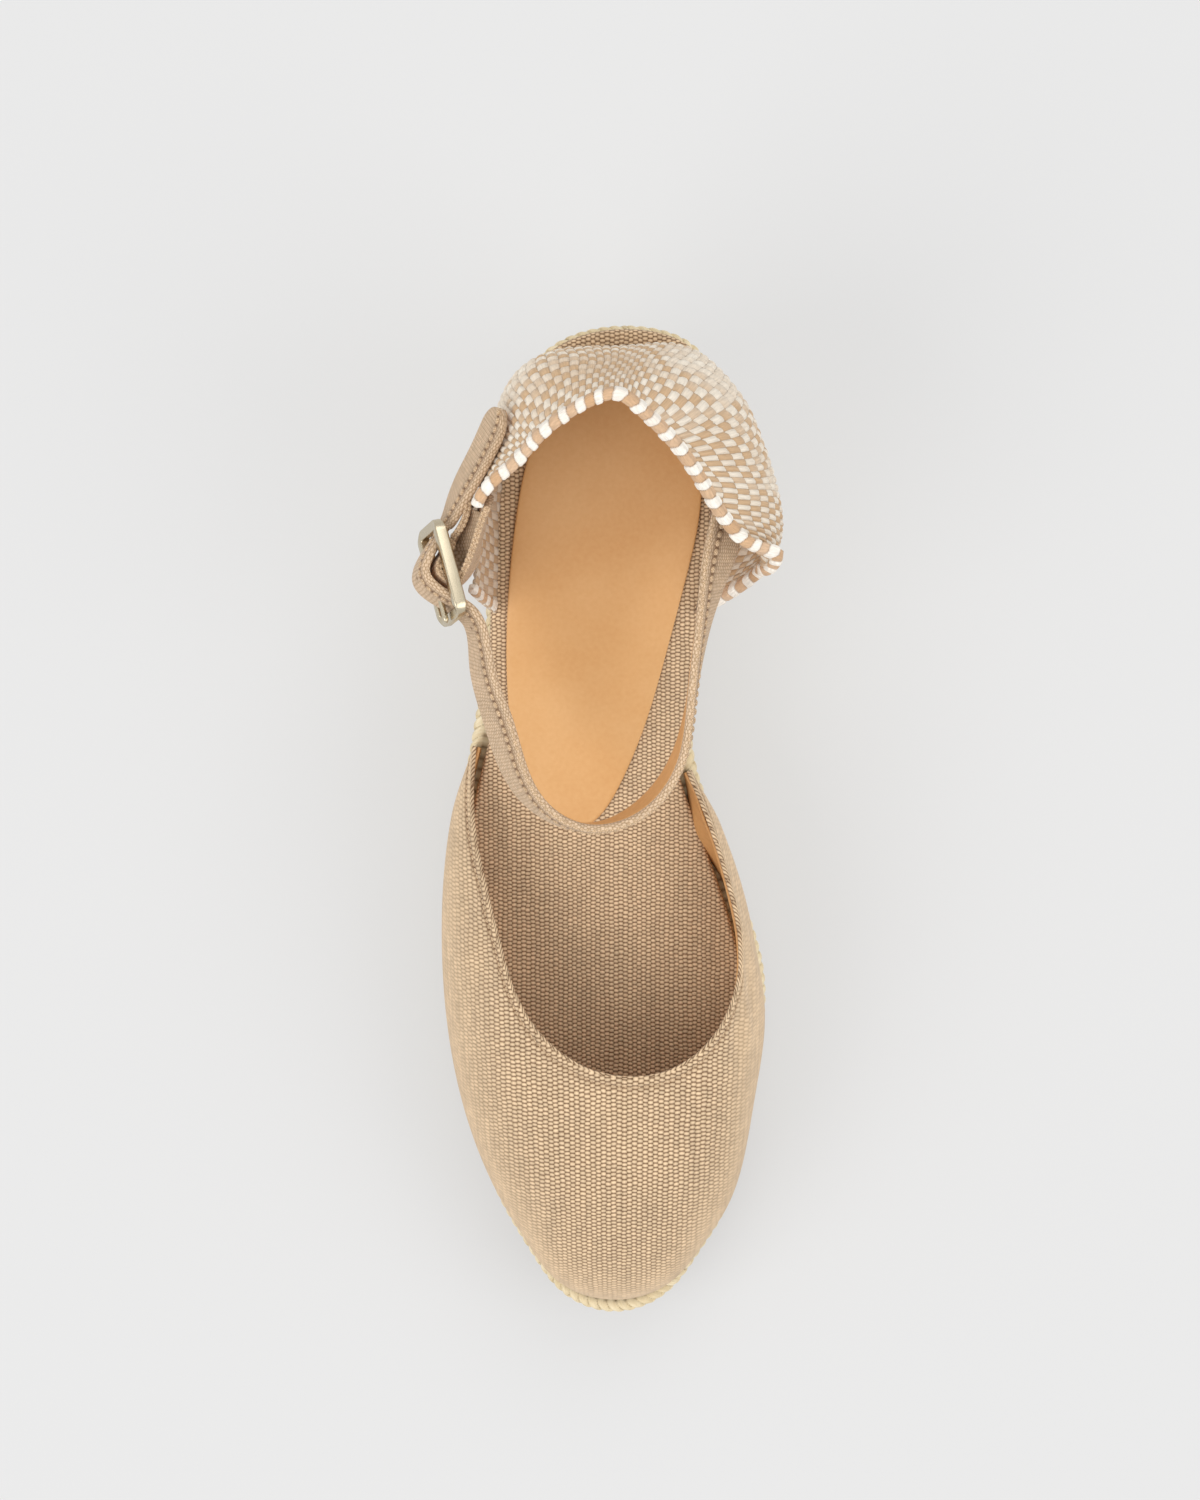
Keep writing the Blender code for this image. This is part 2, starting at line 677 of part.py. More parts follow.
def ribbon(shape, points, widths, count, width, thickness):
    """Flat strip along a smooth curve, with its width in the given directions and a round tip."""
    knots = chord(points)
    half = width / 2
    bow = np.linspace(0, 1, TIP_STEPS + 2)[1:-1]
    tip = knots[-1] - half + half * np.sin(bow * math.pi / 2)
    places = np.concatenate([np.linspace(0, knots[-1] - half, count), tip])
    narrowing = np.concatenate([np.ones(count), np.cos(bow * math.pi / 2)])[:, None]
    path = spline(knots, points, places)
    run = unit(np.gradient(path, places, axis=0))
    face = unit(np.cross(spline(knots, widths, places), run))
    across = np.cross(run, face) * narrowing
    shoulder = half - thickness / 3
    section = ((-half, 0), (-shoulder, 0.5), (shoulder, 0.5), (half, 0), (shoulder, -0.5), (-shoulder, -0.5))
    columns = []
    for w, n in section:
        ring = path + across * w + face * n * thickness
        columns.append([shape.verts.new(p) for p in ring])
    join_columns(shape, columns)
    shape.faces.new([column[0] for column in columns])
    shape.faces.new([column[-1] for column in columns])


def ankle_strap(shape):
    """Strap from inside the counter, round the ankle, through the buckle and back outside it."""
    before, before_width = leaning_stations(STRAP_FROM_COUNTER)
    after, after_width = leaning_stations(STRAP_TAIL)
    through = np.array([buckle_point(p.along, 0, p.out) for p in STRAP_THROUGH_FRAME])
    upright = np.tile(buckle_axes()[1], (len(through), 1))
    ribbon(
        shape,
        np.vstack([before, through, after]),
        np.vstack([before_width, upright, after_width]),
        STRAP_STEPS,
        STRAP_WIDTH,
        STRAP_THICK,
    )


def buckle_tab(shape):
    """Tab that holds the buckle: both legs on the counter's front edge, folded round the bar."""
    inside = -COUNTER_WALL - TAB_CLEAR - TAB_THICK / 2
    outside = TAB_CLEAR_OUTSIDE + TAB_THICK / 2
    inner = [counter_place(leg.around, leg.level, inside) for leg in TAB_INNER_LEG]
    fold = [(buckle_point(p.along, 0, p.out), buckle_axes()[1]) for p in TAB_ROUND_BAR]
    outer = [counter_place(leg.around, leg.level, outside) for leg in TAB_OUTER_LEG]
    fold[0] = fold[0][0], inner[-1][1]
    points, widths = (np.array(column) for column in zip(*(inner + fold + outer)))
    ribbon(shape, points, widths, TAB_STEPS, STRAP_WIDTH, TAB_THICK)


def tube(shape, path, radii, sides, closed=False):
    """Round bar along a path of points, with its section's half sizes along and across the frame."""
    path = np.asarray(path, float)
    run = np.roll(path, -1, 0) - np.roll(path, 1, 0) if closed else np.gradient(path, axis=0)
    run = unit(run)
    plane = unit(np.cross(run, np.roll(run, 3, 0)).sum(0))
    beside = np.cross(run, plane)
    columns = []
    for k in range(sides):
        angle = 2 * math.pi * (k + 0.5) / sides
        ring = path + beside * radii[0] * math.cos(angle) + plane * radii[1] * math.sin(angle)
        points = [shape.verts.new(p) for p in ring]
        columns.append(points + points[:1] if closed else points)
    join_columns(shape, columns)
    if not closed:
        shape.faces.new([column[0] for column in columns])
        shape.faces.new([column[-1] for column in columns])


def frame_loop():
    """Middle line of the buckle's frame: a rectangle with round corners."""
    half_length, half_height = (FRAME_LENGTH - FRAME_BAR) / 2, (FRAME_HEIGHT - FRAME_BAR) / 2
    corner_steps = 4
    path = []
    for quarter in range(4):
        right, above = (1, 1, -1, -1)[quarter], (-1, 1, 1, -1)[quarter]
        centre = (right * (half_length - FRAME_CORNER), above * (half_height - FRAME_CORNER))
        for k in range(corner_steps + 1):
            angle = math.radians(90 * (quarter - 1 + k / corner_steps))
            along = centre[0] + FRAME_CORNER * math.cos(angle)
            up = centre[1] + FRAME_CORNER * math.sin(angle)
            path.append(buckle_point(along, up, 0))
    return path


def buckle_frame(shape):
    tube(shape, frame_loop(), (FRAME_BAR / 2, FRAME_THICK / 2), 10, closed=True)


def centre_bar(shape):
    """Bar between the middles of the frame's long sides, ending inside them."""
    reach = (FRAME_HEIGHT - FRAME_BAR) / 2
    ends = np.array([buckle_point(0, -reach, 0), buckle_point(0, reach, 0)])
    heelward, _, outward = buckle_axes()
    sides = 10
    columns = []
    for k in range(sides):
        angle = 2 * math.pi * k / sides
        offset = (heelward * math.cos(angle) + outward * math.sin(angle)) * CENTRE_BAR_RADIUS
        columns.append([shape.verts.new(end + offset) for end in ends])
    join_columns(shape, columns)
    shape.faces.new([column[0] for column in columns])
    shape.faces.new([column[1] for column in columns])


def buckle_prong(shape):
    """Prong hooked round the centre bar, lying on the frame's front bar."""
    hook = CENTRE_BAR_RADIUS + GAP + PRONG_RADIUS
    path = []
    for k in range(9):
        angle = math.radians(-110 + 200 * k / 8)
        path.append(buckle_point(hook * math.cos(angle), 0, hook * math.sin(angle)))
    rest = FRAME_THICK / 2 + GAP + PRONG_RADIUS
    reach = -FRAME_LENGTH / 2
    for share in (0.35, 0.7, 1.0):
        path.append(buckle_point(reach * share, 0, hook + (rest - hook) * share))
    tube(shape, path, (PRONG_RADIUS, PRONG_RADIUS), 8)


def box_cutter(name, material, along, up, out):
    """Hidden box in the buckle's directions, from ranges along, up and out."""

    def corners(shape):
        points = [shape.verts.new(buckle_point(s, w, n)) for s in along for w in up for n in out]
        bmesh.ops.convex_hull(shape, input=points)

    obj = add_object(name, corners, material)
    obj.hide_render = True
    obj.display_type = "WIRE"
    return obj


def boolean(obj, other, operation):
    modifier = obj.modifiers.new(other.name, "BOOLEAN")
    modifier.object = other
    modifier.operation = operation
    modifier.solver = "EXACT"


def main():
    for obj in list(bpy.data.objects):
        bpy.data.objects.remove(obj)
    shoe = bpy.data.objects.new("espadrille", None)
    bpy.context.scene.collection.objects.link(shoe)
    pieces = (
        ("outsole", outsole, "rubber"),
        ("wedge", wedge, "jute"),
        ("platform", platform, "jute"),
        ("footbed", footbed, "canvas"),
        ("sock", sock, "leather"),
        ("vamp", vamp, "canvas"),
        ("counter", counter, "weave"),
        ("ankle_strap", ankle_strap, "canvas"),
        ("buckle_tab", buckle_tab, "canvas"),
        ("buckle_frame", buckle_frame, "pale gold"),
        ("buckle_prong", buckle_prong, "pale gold"),
    )
    materials = {name: make_material(name) for name in FINISHES}
    made = {}
    for name, maker, finish in pieces:
        made[name] = add_object(name, maker, materials[finish])
        made[name].parent = shoe

    bar = add_object("centre_bar", centre_bar, materials["pale gold"])
    bar.hide_render = True
    bar.display_type = "WIRE"
    boolean(made["buckle_frame"], bar, "UNION")
    half = PRONG_RADIUS + 2 * GAP
    slot = box_cutter("tab_slot", materials["canvas"], (-6.0, 3.0), (-half, half), (-3.2, 3.4))
    boolean(made["buckle_tab"], slot, "DIFFERENCE")
    hole = box_cutter("strap_hole", materials["canvas"], (-8.4, -2.6), (-half, half), (0.7, 3.1))
    boolean(made["ankle_strap"], hole, "DIFFERENCE")


main()
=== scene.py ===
"""Looks of the wedge espadrille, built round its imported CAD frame.

Shapes are worked out in millimetres, as whole arrays of points, in the frame of the CAD: +Z up, toe
towards -Y, inner side of the foot towards +X, origin on the floor under the middle of the shoe.
"""

import logging
import math
from collections.abc import Sequence
from dataclasses import dataclass, field
from enum import Enum
from typing import Union

import bmesh
import bpy
import numpy as np
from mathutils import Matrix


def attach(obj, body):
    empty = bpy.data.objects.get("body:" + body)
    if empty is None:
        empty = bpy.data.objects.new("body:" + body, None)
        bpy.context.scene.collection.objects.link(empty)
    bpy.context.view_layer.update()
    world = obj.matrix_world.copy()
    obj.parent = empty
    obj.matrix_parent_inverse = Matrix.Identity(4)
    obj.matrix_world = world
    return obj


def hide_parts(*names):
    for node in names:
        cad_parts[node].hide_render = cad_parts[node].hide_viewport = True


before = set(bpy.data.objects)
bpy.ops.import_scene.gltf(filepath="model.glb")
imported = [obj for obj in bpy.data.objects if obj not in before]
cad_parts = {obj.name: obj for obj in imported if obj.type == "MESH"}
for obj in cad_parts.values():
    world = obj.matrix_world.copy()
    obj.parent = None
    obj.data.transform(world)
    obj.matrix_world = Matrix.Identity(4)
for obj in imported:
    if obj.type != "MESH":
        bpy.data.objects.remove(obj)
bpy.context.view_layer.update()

LOG = logging.getLogger("espadrille")
MM = 0.001
GAP = 0.3
BODY = "root"
CLOTH_MAP = "cloth"
BOARD = 4.0
BRAID_SHOWN = (156.0, 14.0)
Array = np.ndarray
Socket = bpy.types.NodeSocket
Value = Union[Socket, float, tuple, str]


class Slot(Enum):
    """Material slots of the record."""

    RUBBER = "outsole_rubber"
    JUTE = "jute"
    CANVAS = "canvas"
    LEATHER = "tan_leather"
    WEAVE = "basket_weave"
    GOLD = "pale_gold"


class Mark(Enum):
    """Values that a mesh carries at each point for its material to read."""

    TINT = "tint"
    # Share of painted shade, towards the material's dark colour.
    PAINTED_SHADE = "hollow_shade"
    # On canvas a painted sheen on steep faces; on the basket weave pale patches of cream yarn and one painted
    # highlight.
    PALE = "pale"


def spline(knots: Sequence, values: Sequence, where: Sequence, closed: bool = False) -> Array:
    """Cubic spline: second derivatives m from h0 m0 + 2 (h0 + h1) m1 + h1 m2 = 6 (slope1 - slope0).

    Args:
        knots: rising places of the values.
        values: one row for each knot.
        where: places to read the curve at.
        closed: whether the curve joins up with itself.

    Returns:
        Rows of the curve at the places.
    """
    knots = np.asarray(knots, float)
    values = np.asarray(values, float).reshape(len(knots), -1)
    where = np.asarray(where, float)
    step = np.diff(knots)
    slope = np.diff(values, axis=0) / step[:, None]
    inner = np.arange(1, len(knots) - 1)
    system = np.zeros((len(knots), len(knots)))
    system[inner, inner - 1] = step[:-1]
    system[inner, inner] = 2 * (step[:-1] + step[1:])
    system[inner, inner + 1] = step[1:]
    right = np.zeros_like(values)
    right[1:-1] = 6 * np.diff(slope, axis=0)
    if closed:
        system[0, [0, -1]] = 1, -1
        system[-1, [0, 1, -2, -1]] = 2 * step[0], step[0], step[-1], 2 * step[-1]
        right[-1] = 6 * (slope[0] - slope[-1])
    else:
        system[0, 0] = system[-1, -1] = 1
    bend = np.linalg.solve(system, right)
    i = np.clip(np.searchsorted(knots, where, "right") - 1, 0, len(knots) - 2)
    width = (knots[i + 1] - knots[i])[..., None]
    b = (where[..., None] - knots[i][..., None]) / width
    a = 1 - b
    curve = ((a**3 - a) * bend[i] + (b**3 - b) * bend[i + 1]) * width**2 / 6
    return a * values[i] + b * values[i + 1] + curve


def run_length(points: Array, axis: int = 0) -> Array:
    """Running length along rows of points: the sum of the chords up to each point.

    Args:
        points: array whose last axis holds coordinates.
        axis: axis to run along.

    Returns:
        Lengths, from 0, without the last axis.
    """
    steps = np.linalg.norm(np.diff(points, axis=axis), axis=-1)
    first = np.zeros_like(np.take(steps, [0], axis=axis))
    return np.concatenate([first, np.cumsum(steps, axis=axis)], axis=axis)


def read_rows(places: Array, knots: Array, rows: Array) -> Array:
    """Rows of values, read on straight lines at places between their knots."""
    return np.stack([np.interp(places, knots, column) for column in rows.T], 1)


def read_along(points: Array, places: Array) -> Array:
    """Points of a polyline read at lengths along it.

    Args:
        points: rows of the polyline.
        places: lengths in mm.

    Returns:
        One row for each length.
    """
    return read_rows(places, run_length(points), points)


def unit(vectors: Array) -> Array:
    """Vectors of length one."""
    return vectors / np.maximum(np.linalg.norm(vectors, axis=-1, keepdims=True), 1e-9)


def ease(value: Array, low: float, high: float) -> Array:
    """Smooth step 3 t^2 - 2 t^3 from 0 at low to 1 at high."""
    t = np.clip((value - low) / (high - low), 0, 1)
    return t * t * (3 - 2 * t)


def hill(value: Array, middle: float, width: float) -> Array:
    """Bell curve exp(-((value - middle) / width)^2)."""
    return np.exp(-(((value - middle) / width) ** 2))


def chance(*keys: Array) -> Array:
    """Repeatable value from 0 to 1 for whole-number keys: the fraction of a large sine.

    Args:
        keys: arrays of whole numbers.

    Returns:
        Array of the keys' shape.
    """
    mixed = sum(key * factor for key, factor in zip(keys, (12.9898, 78.233, 37.719)))
    return np.abs(np.sin(mixed) * 43758.5453) % 1.0


def surface_normals(grid: Array) -> Array:
    """Unit normals of a grid of points: cross product of its two differences."""
    return unit(np.cross(np.gradient(grid, axis=0), np.gradient(grid, axis=1)))


def bezier(a: Array, b: Array, c: Array, d: Array, levels: Array) -> Array:
    """Cubic curves (1-t)^3 a + 3 (1-t)^2 t b + 3 (1-t) t^2 c + t^3 d, one for each row of points.

    Args:
        a: starts.
        b: first control points.
        c: second control points.
        d: ends.
        levels: values of t, the same for all rows or one line for each row.

    Returns:
        Grid of rows by levels.
    """
    t = np.atleast_2d(levels)[..., None]
    a, b, c, d = (points[:, None, :] for points in (a, b, c, d))
    return (1 - t) ** 3 * a + 3 * (1 - t) ** 2 * t * b + 3 * (1 - t) * t**2 * c + t**3 * d


@dataclass
class Patch:
    """Grid of points in mm, with what its material reads at each point."""

    points: Array
    cloth: Array | None = None
    marks: dict[Mark, Array] = field(default_factory=dict)

    def quads(self) -> Array:
        """Corners of the faces between neighbouring points.

        Returns:
            Four point numbers for each face.
        """
        rows, columns = self.points.shape[:2]
        at = np.arange(rows * columns).reshape(rows, columns)
        return np.stack([at[:-1, :-1], at[1:, :-1], at[1:, 1:], at[:-1, 1:]], -1).reshape(-1, 4)

    def threads(self) -> Array:
        """Thread coordinates in mm, or the points seen from above where none are given."""
        return self.points[..., :2] if self.cloth is None else self.cloth


def closing(ring: Array, across: int = 2) -> Patch:
    """Patch that closes a ring: straight lines from point k to point n - k, split evenly.

    Args:
        ring: points of a closed ring, without the first one again.
        across: points on each line.

    Returns:
        The patch, which comes to a point at both ends.
    """
    half = len(ring) // 2
    near = ring[: half + 1]
    far = ring[-np.arange(half + 1)]
    share = np.linspace(0, 1, across)[None, :, None]
    return Patch(near[:, None] * (1 - share) + far[:, None] * share)


def looped(points: Array, axis: int = 0) -> Array:
    """Points with the first ones again at the end, so that a grid joins up with itself."""
    return np.concatenate([points, np.take(points, [0], axis=axis)], axis=axis)


def squared(wave: Array, power: float) -> Array:
    """Wave with its size to a power and its sign kept, which squares off a round section."""
    return np.sign(wave) * np.abs(wave) ** power


def circle(count: int) -> Array:
    """Angles of points spread evenly round a circle."""
    return np.linspace(0, 2 * math.pi, count + 1)[:-1]


def tube(grid: Array, cloth: Array | None = None, marks: dict | None = None) -> list[Patch]:
    """Tube of rings, with a flat patch over each end.

    Args:
        grid: rings of points, the first point of a ring not repeated.
        cloth: thread coordinates of the same points, or None.
        marks: values of the same points, or None.

    Returns:
        Patches of the wall and of both ends.
    """
    round_marks = {mark: looped(values, 1) for mark, values in (marks or {}).items()}
    wall = Patch(looped(grid, 1), None if cloth is None else looped(cloth, 1), round_marks)
    return [wall, closing(grid[0]), closing(grid[-1])]


def mesh_of(name: str, patches: Sequence[Patch], corner: float | None) -> bpy.types.Mesh:
    """Mesh in metres from patches, with shared points merged and faces turned outwards.

    Args:
        name: name of the mesh.
        patches: grids that close a shape together, or several closed shapes.
        corner: angle in degrees over which an edge stays sharp, or None.

    Returns:
        The mesh, with its thread map and marks.
    """
    sizes = [patch.points.shape[0] * patch.points.shape[1] for patch in patches]
    starts = np.concatenate([[0], np.cumsum(sizes)[:-1]])
    points = np.concatenate([patch.points.reshape(-1, 3) for patch in patches]) * MM
    quads = np.concatenate([patch.quads() + start for patch, start in zip(patches, starts)])
    cloth = np.concatenate([patch.threads().reshape(-1, 2) for patch in patches])
    mesh = bpy.data.meshes.new(name)
    mesh.vertices.add(len(points))
    mesh.vertices.foreach_set("co", points.ravel().astype(np.float32))
    mesh.loops.add(quads.size)
    mesh.loops.foreach_set("vertex_index", quads.ravel().astype(np.int32))
    mesh.polygons.add(len(quads))
    mesh.polygons.foreach_set("loop_start", np.arange(0, quads.size, 4, dtype=np.int32))
    mesh.update(calc_edges=True)
    threads = mesh.uv_layers.new(name=CLOTH_MAP)
    threads.uv.foreach_set("vector", cloth[quads.ravel()].ravel().astype(np.float32))
    for mark in Mark:
        values = [patch.marks.get(mark, np.zeros(size)).ravel() for patch, size in zip(patches, sizes)]
        layer = mesh.attributes.new(mark.value, "FLOAT", "POINT")
        layer.data.foreach_set("value", np.concatenate(values).astype(np.float32))
    shape = bmesh.new()
    shape.from_mesh(mesh)
    bmesh.ops.remove_doubles(shape, verts=shape.verts, dist=0.002 * MM)
    bmesh.ops.recalc_face_normals(shape, faces=shape.faces)
    shape.to_mesh(mesh)
    shape.free()
    mesh.shade_smooth()
    if corner is not None:
        mesh.set_sharp_from_angle(angle=math.radians(corner))
    return mesh


def linear(colour: str) -> tuple[float, float, float, float]:
    """Linear colour from an sRGB hex value such as #d8b893.

    Args:
        colour: hash sign and six digits.

    Returns:
        Red, green, blue and alpha.
    """
    parts = np.array([int(colour[k : k + 2], 16) for k in (1, 3, 5)]) / 255
    values = np.where(parts <= 0.04045, parts / 12.92, ((parts + 0.055) / 1.055) ** 2.4)
    return (*values.tolist(), 1.0)


def add_node(
    tree: bpy.types.NodeTree, kind: str, inputs: dict, out: int | str | None = 0, **settings: Value
) -> Socket | None:
    """Adds a shader node with its settings, and feeds its inputs from sockets or constants.

    Args:
        tree: node tree of the material.
        kind: node type without its ShaderNode prefix.
        inputs: socket or constant for each input, by name or number.
        out: output to return, or None for a node that has none.
        settings: properties of the node.

    Returns:
        The output socket.
    """
    node = tree.nodes.new("ShaderNode" + kind)
    for name, value in settings.items():
        setattr(node, name, value)
    for name, value in inputs.items():
        if isinstance(value, Socket):
            tree.links.new(value, node.inputs[name])
        else:
            node.inputs[name].default_value = value
    return None if out is None else node.outputs[out]


@dataclass(frozen=True)
class Nodes:
    """Short forms of the nodes that several finishes use, all added to one tree."""

    tree: bpy.types.NodeTree

    def math(self, operation: str, *values: Value) -> Socket:
        """Operation of a math node on its values."""
        return add_node(self.tree, "Math", dict(enumerate(values)), operation=operation)

    def line(self, value: Value, slope: Value, start: Value) -> Socket:
        """Straight line: start + slope times value."""
        return self.math("MULTIPLY_ADD", value, slope, start)

    def vector(self, operation: str, *values: Value) -> Socket:
        """Operation of a vector math node on its values."""
        return add_node(self.tree, "VectorMath", dict(enumerate(values)), operation=operation)

    def split(self, where: Value) -> tuple[Socket, Socket]:
        """First two coordinates of a place."""
        outputs = add_node(self.tree, "SeparateXYZ", {0: where}).node.outputs
        return outputs["X"], outputs["Y"]

    def noise(self, where: Value, scale: float, detail: float, out: str = "Fac") -> Socket:
        """Noise at a place."""
        return add_node(self.tree, "TexNoise", {"Vector": where, "Scale": scale, "Detail": detail}, out)

    def cells(self, where: Value, scale: float) -> Socket:
        """Distance from the middle of scattered cells."""
        return add_node(self.tree, "TexVoronoi", {"Vector": where, "Scale": scale}, "Distance")

    def luck(self, column: Value, row: Value) -> Socket:
        """Chance value of each cell of a grid."""
        cell = add_node(self.tree, "CombineXYZ", {0: column, 1: row})
        return add_node(self.tree, "TexWhiteNoise", {"Vector": cell}, "Value", noise_dimensions="2D")

    def spread(self, value: Value, low: float, high: float, first: float = 0.0, last: float = 1.0) -> Socket:
        """Value from the range low to high, taken to the range first to last and kept in it."""
        return add_node(self.tree, "MapRange", {"Value": value, 1: low, 2: high, 3: first, 4: last})

    def blend(self, share: Value, low: Value, high: Value) -> Socket:
        """Number between two."""
        return add_node(self.tree, "Mix", {0: share, 2: low, 3: high})

    def mix(self, share: Value, low: Value, high: Value) -> Socket:
        """Colour between two, each a hex value or a socket."""
        low, high = (linear(end) if isinstance(end, str) else end for end in (low, high))
        return add_node(self.tree, "Mix", {0: share, 6: low, 7: high}, 2, data_type="RGBA")

    def toned(self, colour: Value, tone: Value) -> Socket:
        """Colour times a tone."""
        return add_node(self.tree, "VectorMath", {0: colour, "Scale": tone}, operation="SCALE")

    def mark(self, mark: Mark) -> Socket:
        """Value that the mesh carries."""
        return add_node(self.tree, "Attribute", {}, "Fac", attribute_name=mark.value)

    def cloth(self) -> Socket:
        """Thread coordinates."""
        return add_node(self.tree, "UVMap", {}, uv_map=CLOTH_MAP)

    def place(self) -> Socket:
        """Place in the object, in metres."""
        return add_node(self.tree, "TexCoord", {}, "Object")

    def stretched(self, where: Value, scale: tuple, turn: float = 0.0) -> Socket:
        """Place turned and stretched."""
        return add_node(self.tree, "Mapping", {"Vector": where, "Rotation": (0, 0, turn), "Scale": scale})

    def relief(self, strength: Value, depth: float, height: Value) -> Socket:
        """Normal from a height, with its depth in mm."""
        return add_node(self.tree, "Bump", {"Strength": strength, "Distance": depth * MM, "Height": height})


@dataclass(frozen=True)
class Finish:
    """A surface: its name, and the shader's inputs that its nodes feed."""

    name: str

    def sockets(self, make: Nodes) -> dict[str, Value]:
        """Inputs of the shader, as sockets or constants."""
        raise NotImplementedError

    def material(self) -> bpy.types.Material:
        """Material of this finish, made once.

        Returns:
            The material, with its shader and output.
        """
        known = bpy.data.materials.get(self.name)
        if known is not None:
            return known
        made = bpy.data.materials.new(self.name)
        made.use_nodes = True
        tree = made.node_tree
        tree.nodes.clear()
        shader = add_node(tree, "BsdfPrincipled", self.sockets(Nodes(tree)))
        add_node(tree, "OutputMaterial", {"Surface": shader}, out=None)
        return made


@dataclass(frozen=True)
class Canvas(Finish):
    """Plain-woven cotton and linen canvas.

    Thick warp threads stand in columns, and each shows as a string of beads where it passes over a
    weft thread. Neighbouring columns are half a bead apart. Bead height is (0.5 + 0.66 a^0.4) times
    (0.15 + 1.2 b^0.5), with a and b triangle waves from 0 to 0.5 across and along a column. The eye
    sees full pale beads with thin brown gaps in zigzags, the brown being painted shade. On steep faces
    the gaps fade and the cloth is paler, a painted sheen. A darker line where a seam pulls the cloth in,
    and the other places that the mesh marks, are painted shade.
    """

    crest: str = "#e4c8a4"
    # Brown in the gaps between beads: painted shade.
    gap_shade: str = "#6b4a2d"
    # Colour of the painted shade that the mesh marks: seams, the vamp's foot, pinholes, the sheet between the
    # tab's legs.
    seam: str = "#6f4f33"
    column: float = 1.33
    bead: float = 1.12
    wander: float = 0.5
    relief: float = 0.35

    def sockets(self, make: Nodes) -> dict[str, Value]:
        """Bead pattern on the thread map, with uneven threads.

        Args:
            make: adds the nodes.

        Returns:
            Inputs of the shader.
        """
        cloth = make.cloth()
        drift = make.noise(cloth, 0.22, 3.0, "Color")
        span, back = (2 * self.wander, 2 * self.wander, 0), (-self.wander, -self.wander, 0)
        across, along = make.split(make.vector("ADD", cloth, make.vector("MULTIPLY_ADD", drift, span, back)))
        column = make.math("DIVIDE", across, self.column)
        thread = make.math("FLOOR", column)
        uneven = add_node(make.tree, "TexWhiteNoise", {"W": thread}, "Value", noise_dimensions="1D")
        steps = make.line(uneven, 0.3, make.math("DIVIDE", along, self.bead))
        beads = make.line(thread, 0.5, steps)
        ridge = make.line(make.math("POWER", make.math("PINGPONG", column, 0.5), 0.4), 0.66, 0.5)
        bump = make.line(make.math("POWER", make.math("PINGPONG", beads, 0.5), 0.5), 1.2, 0.15)
        height = make.math("MULTIPLY", ridge, bump)
        # Painted sheen: on steep faces the gaps fade and the cloth is paler.
        steep = make.mark(Mark.PALE)
        pale = make.blend(steep, make.spread(height, 0.28, 0.88), 0.85)
        slub = make.noise(make.stretched(cloth, (0.9, 0.07, 1.0)), 1.0, 3.0)
        tone = make.line(make.luck(thread, make.math("FLOOR", beads)), 0.16, 0.6)
        tone = make.line(make.noise(cloth, 0.05, 3.0), 0.24, make.line(slub, 0.4, tone))
        # Painted shade: gap colour by bead height, and the marked shade colour.
        colour = make.mix(make.mark(Mark.PAINTED_SHADE), make.mix(pale, self.gap_shade, self.crest), self.seam)
        fuzzy = make.line(make.noise(cloth, 5.0, 2.0), 0.25, height)
        return {
            "Base Color": make.toned(colour, tone),
            "Roughness": 0.92,
            "Normal": make.relief(make.line(steep, -0.5, 0.9), self.relief, fuzzy),
            "Sheen Weight": 0.12,
            "Sheen Roughness": 0.5,
            "Specular IOR Level": 0.25,
        }


@dataclass(frozen=True)
class Leather(Finish):
    """Smooth vegetable-tanned lining leather: even orange tan, soft gloss, fine pores, faint clouds."""

    light: str = "#deae77"
    dark: str = "#d39d62"
    pore: float = 0.45
    roughness: float = 0.5

    def sockets(self, make: Nodes) -> dict[str, Value]:
        """Clouds for the colour and small cells for the grain.

        Args:
            make: adds the nodes.

        Returns:
            Inputs of the shader.
        """
        place = make.place()
        cloud = make.noise(place, 38.0, 4.0)
        speck = make.noise(place, 900.0, 3.0)
        share = make.spread(make.line(speck, 0.5, cloud), 0.45, 1.05)
        grain = make.math("ADD", speck, make.cells(place, 1 / (self.pore * MM)))
        return {
            "Base Color": make.mix(share, self.dark, self.light),
            "Roughness": make.spread(cloud, 0.0, 1.0, self.roughness - 0.06, self.roughness + 0.08),
            "Normal": make.relief(0.25, 0.05, grain),
            "Specular IOR Level": 0.4,
        }


@dataclass(frozen=True)
class Jute(Finish):
    """Plaited natural jute: pale straw strands with long fibres, with painted shade in brown in the hollows
    between them.
    """

    straw: str = "#f5e6c4"
    dull: str = "#dfca9f"
    # Brown of the hollows between strands: painted shade.
    hollow_shade: str = "#7a6040"
    fibre: float = 0.35

    def sockets(self, make: Nodes) -> dict[str, Value]:
        """Fibres along the strands, a tone for each strand and painted shade in the hollows.

        Args:
            make: adds the nodes.

        Returns:
            Inputs of the shader.
        """
        fibre = make.noise(make.stretched(make.cloth(), (1 / self.fibre, 0.25, 1.0)), 1.0, 4.0)
        share = make.spread(make.line(make.mark(Mark.TINT), 0.45, fibre), 0.3, 1.0)
        colour = make.mix(share, self.dull, self.straw)
        return {
            "Base Color": make.mix(make.mark(Mark.PAINTED_SHADE), colour, self.hollow_shade),
            "Roughness": 0.9,
            "Normal": make.relief(0.7, 0.3, fibre),
            "Sheen Weight": 0.1,
            "Specular IOR Level": 0.25,
        }


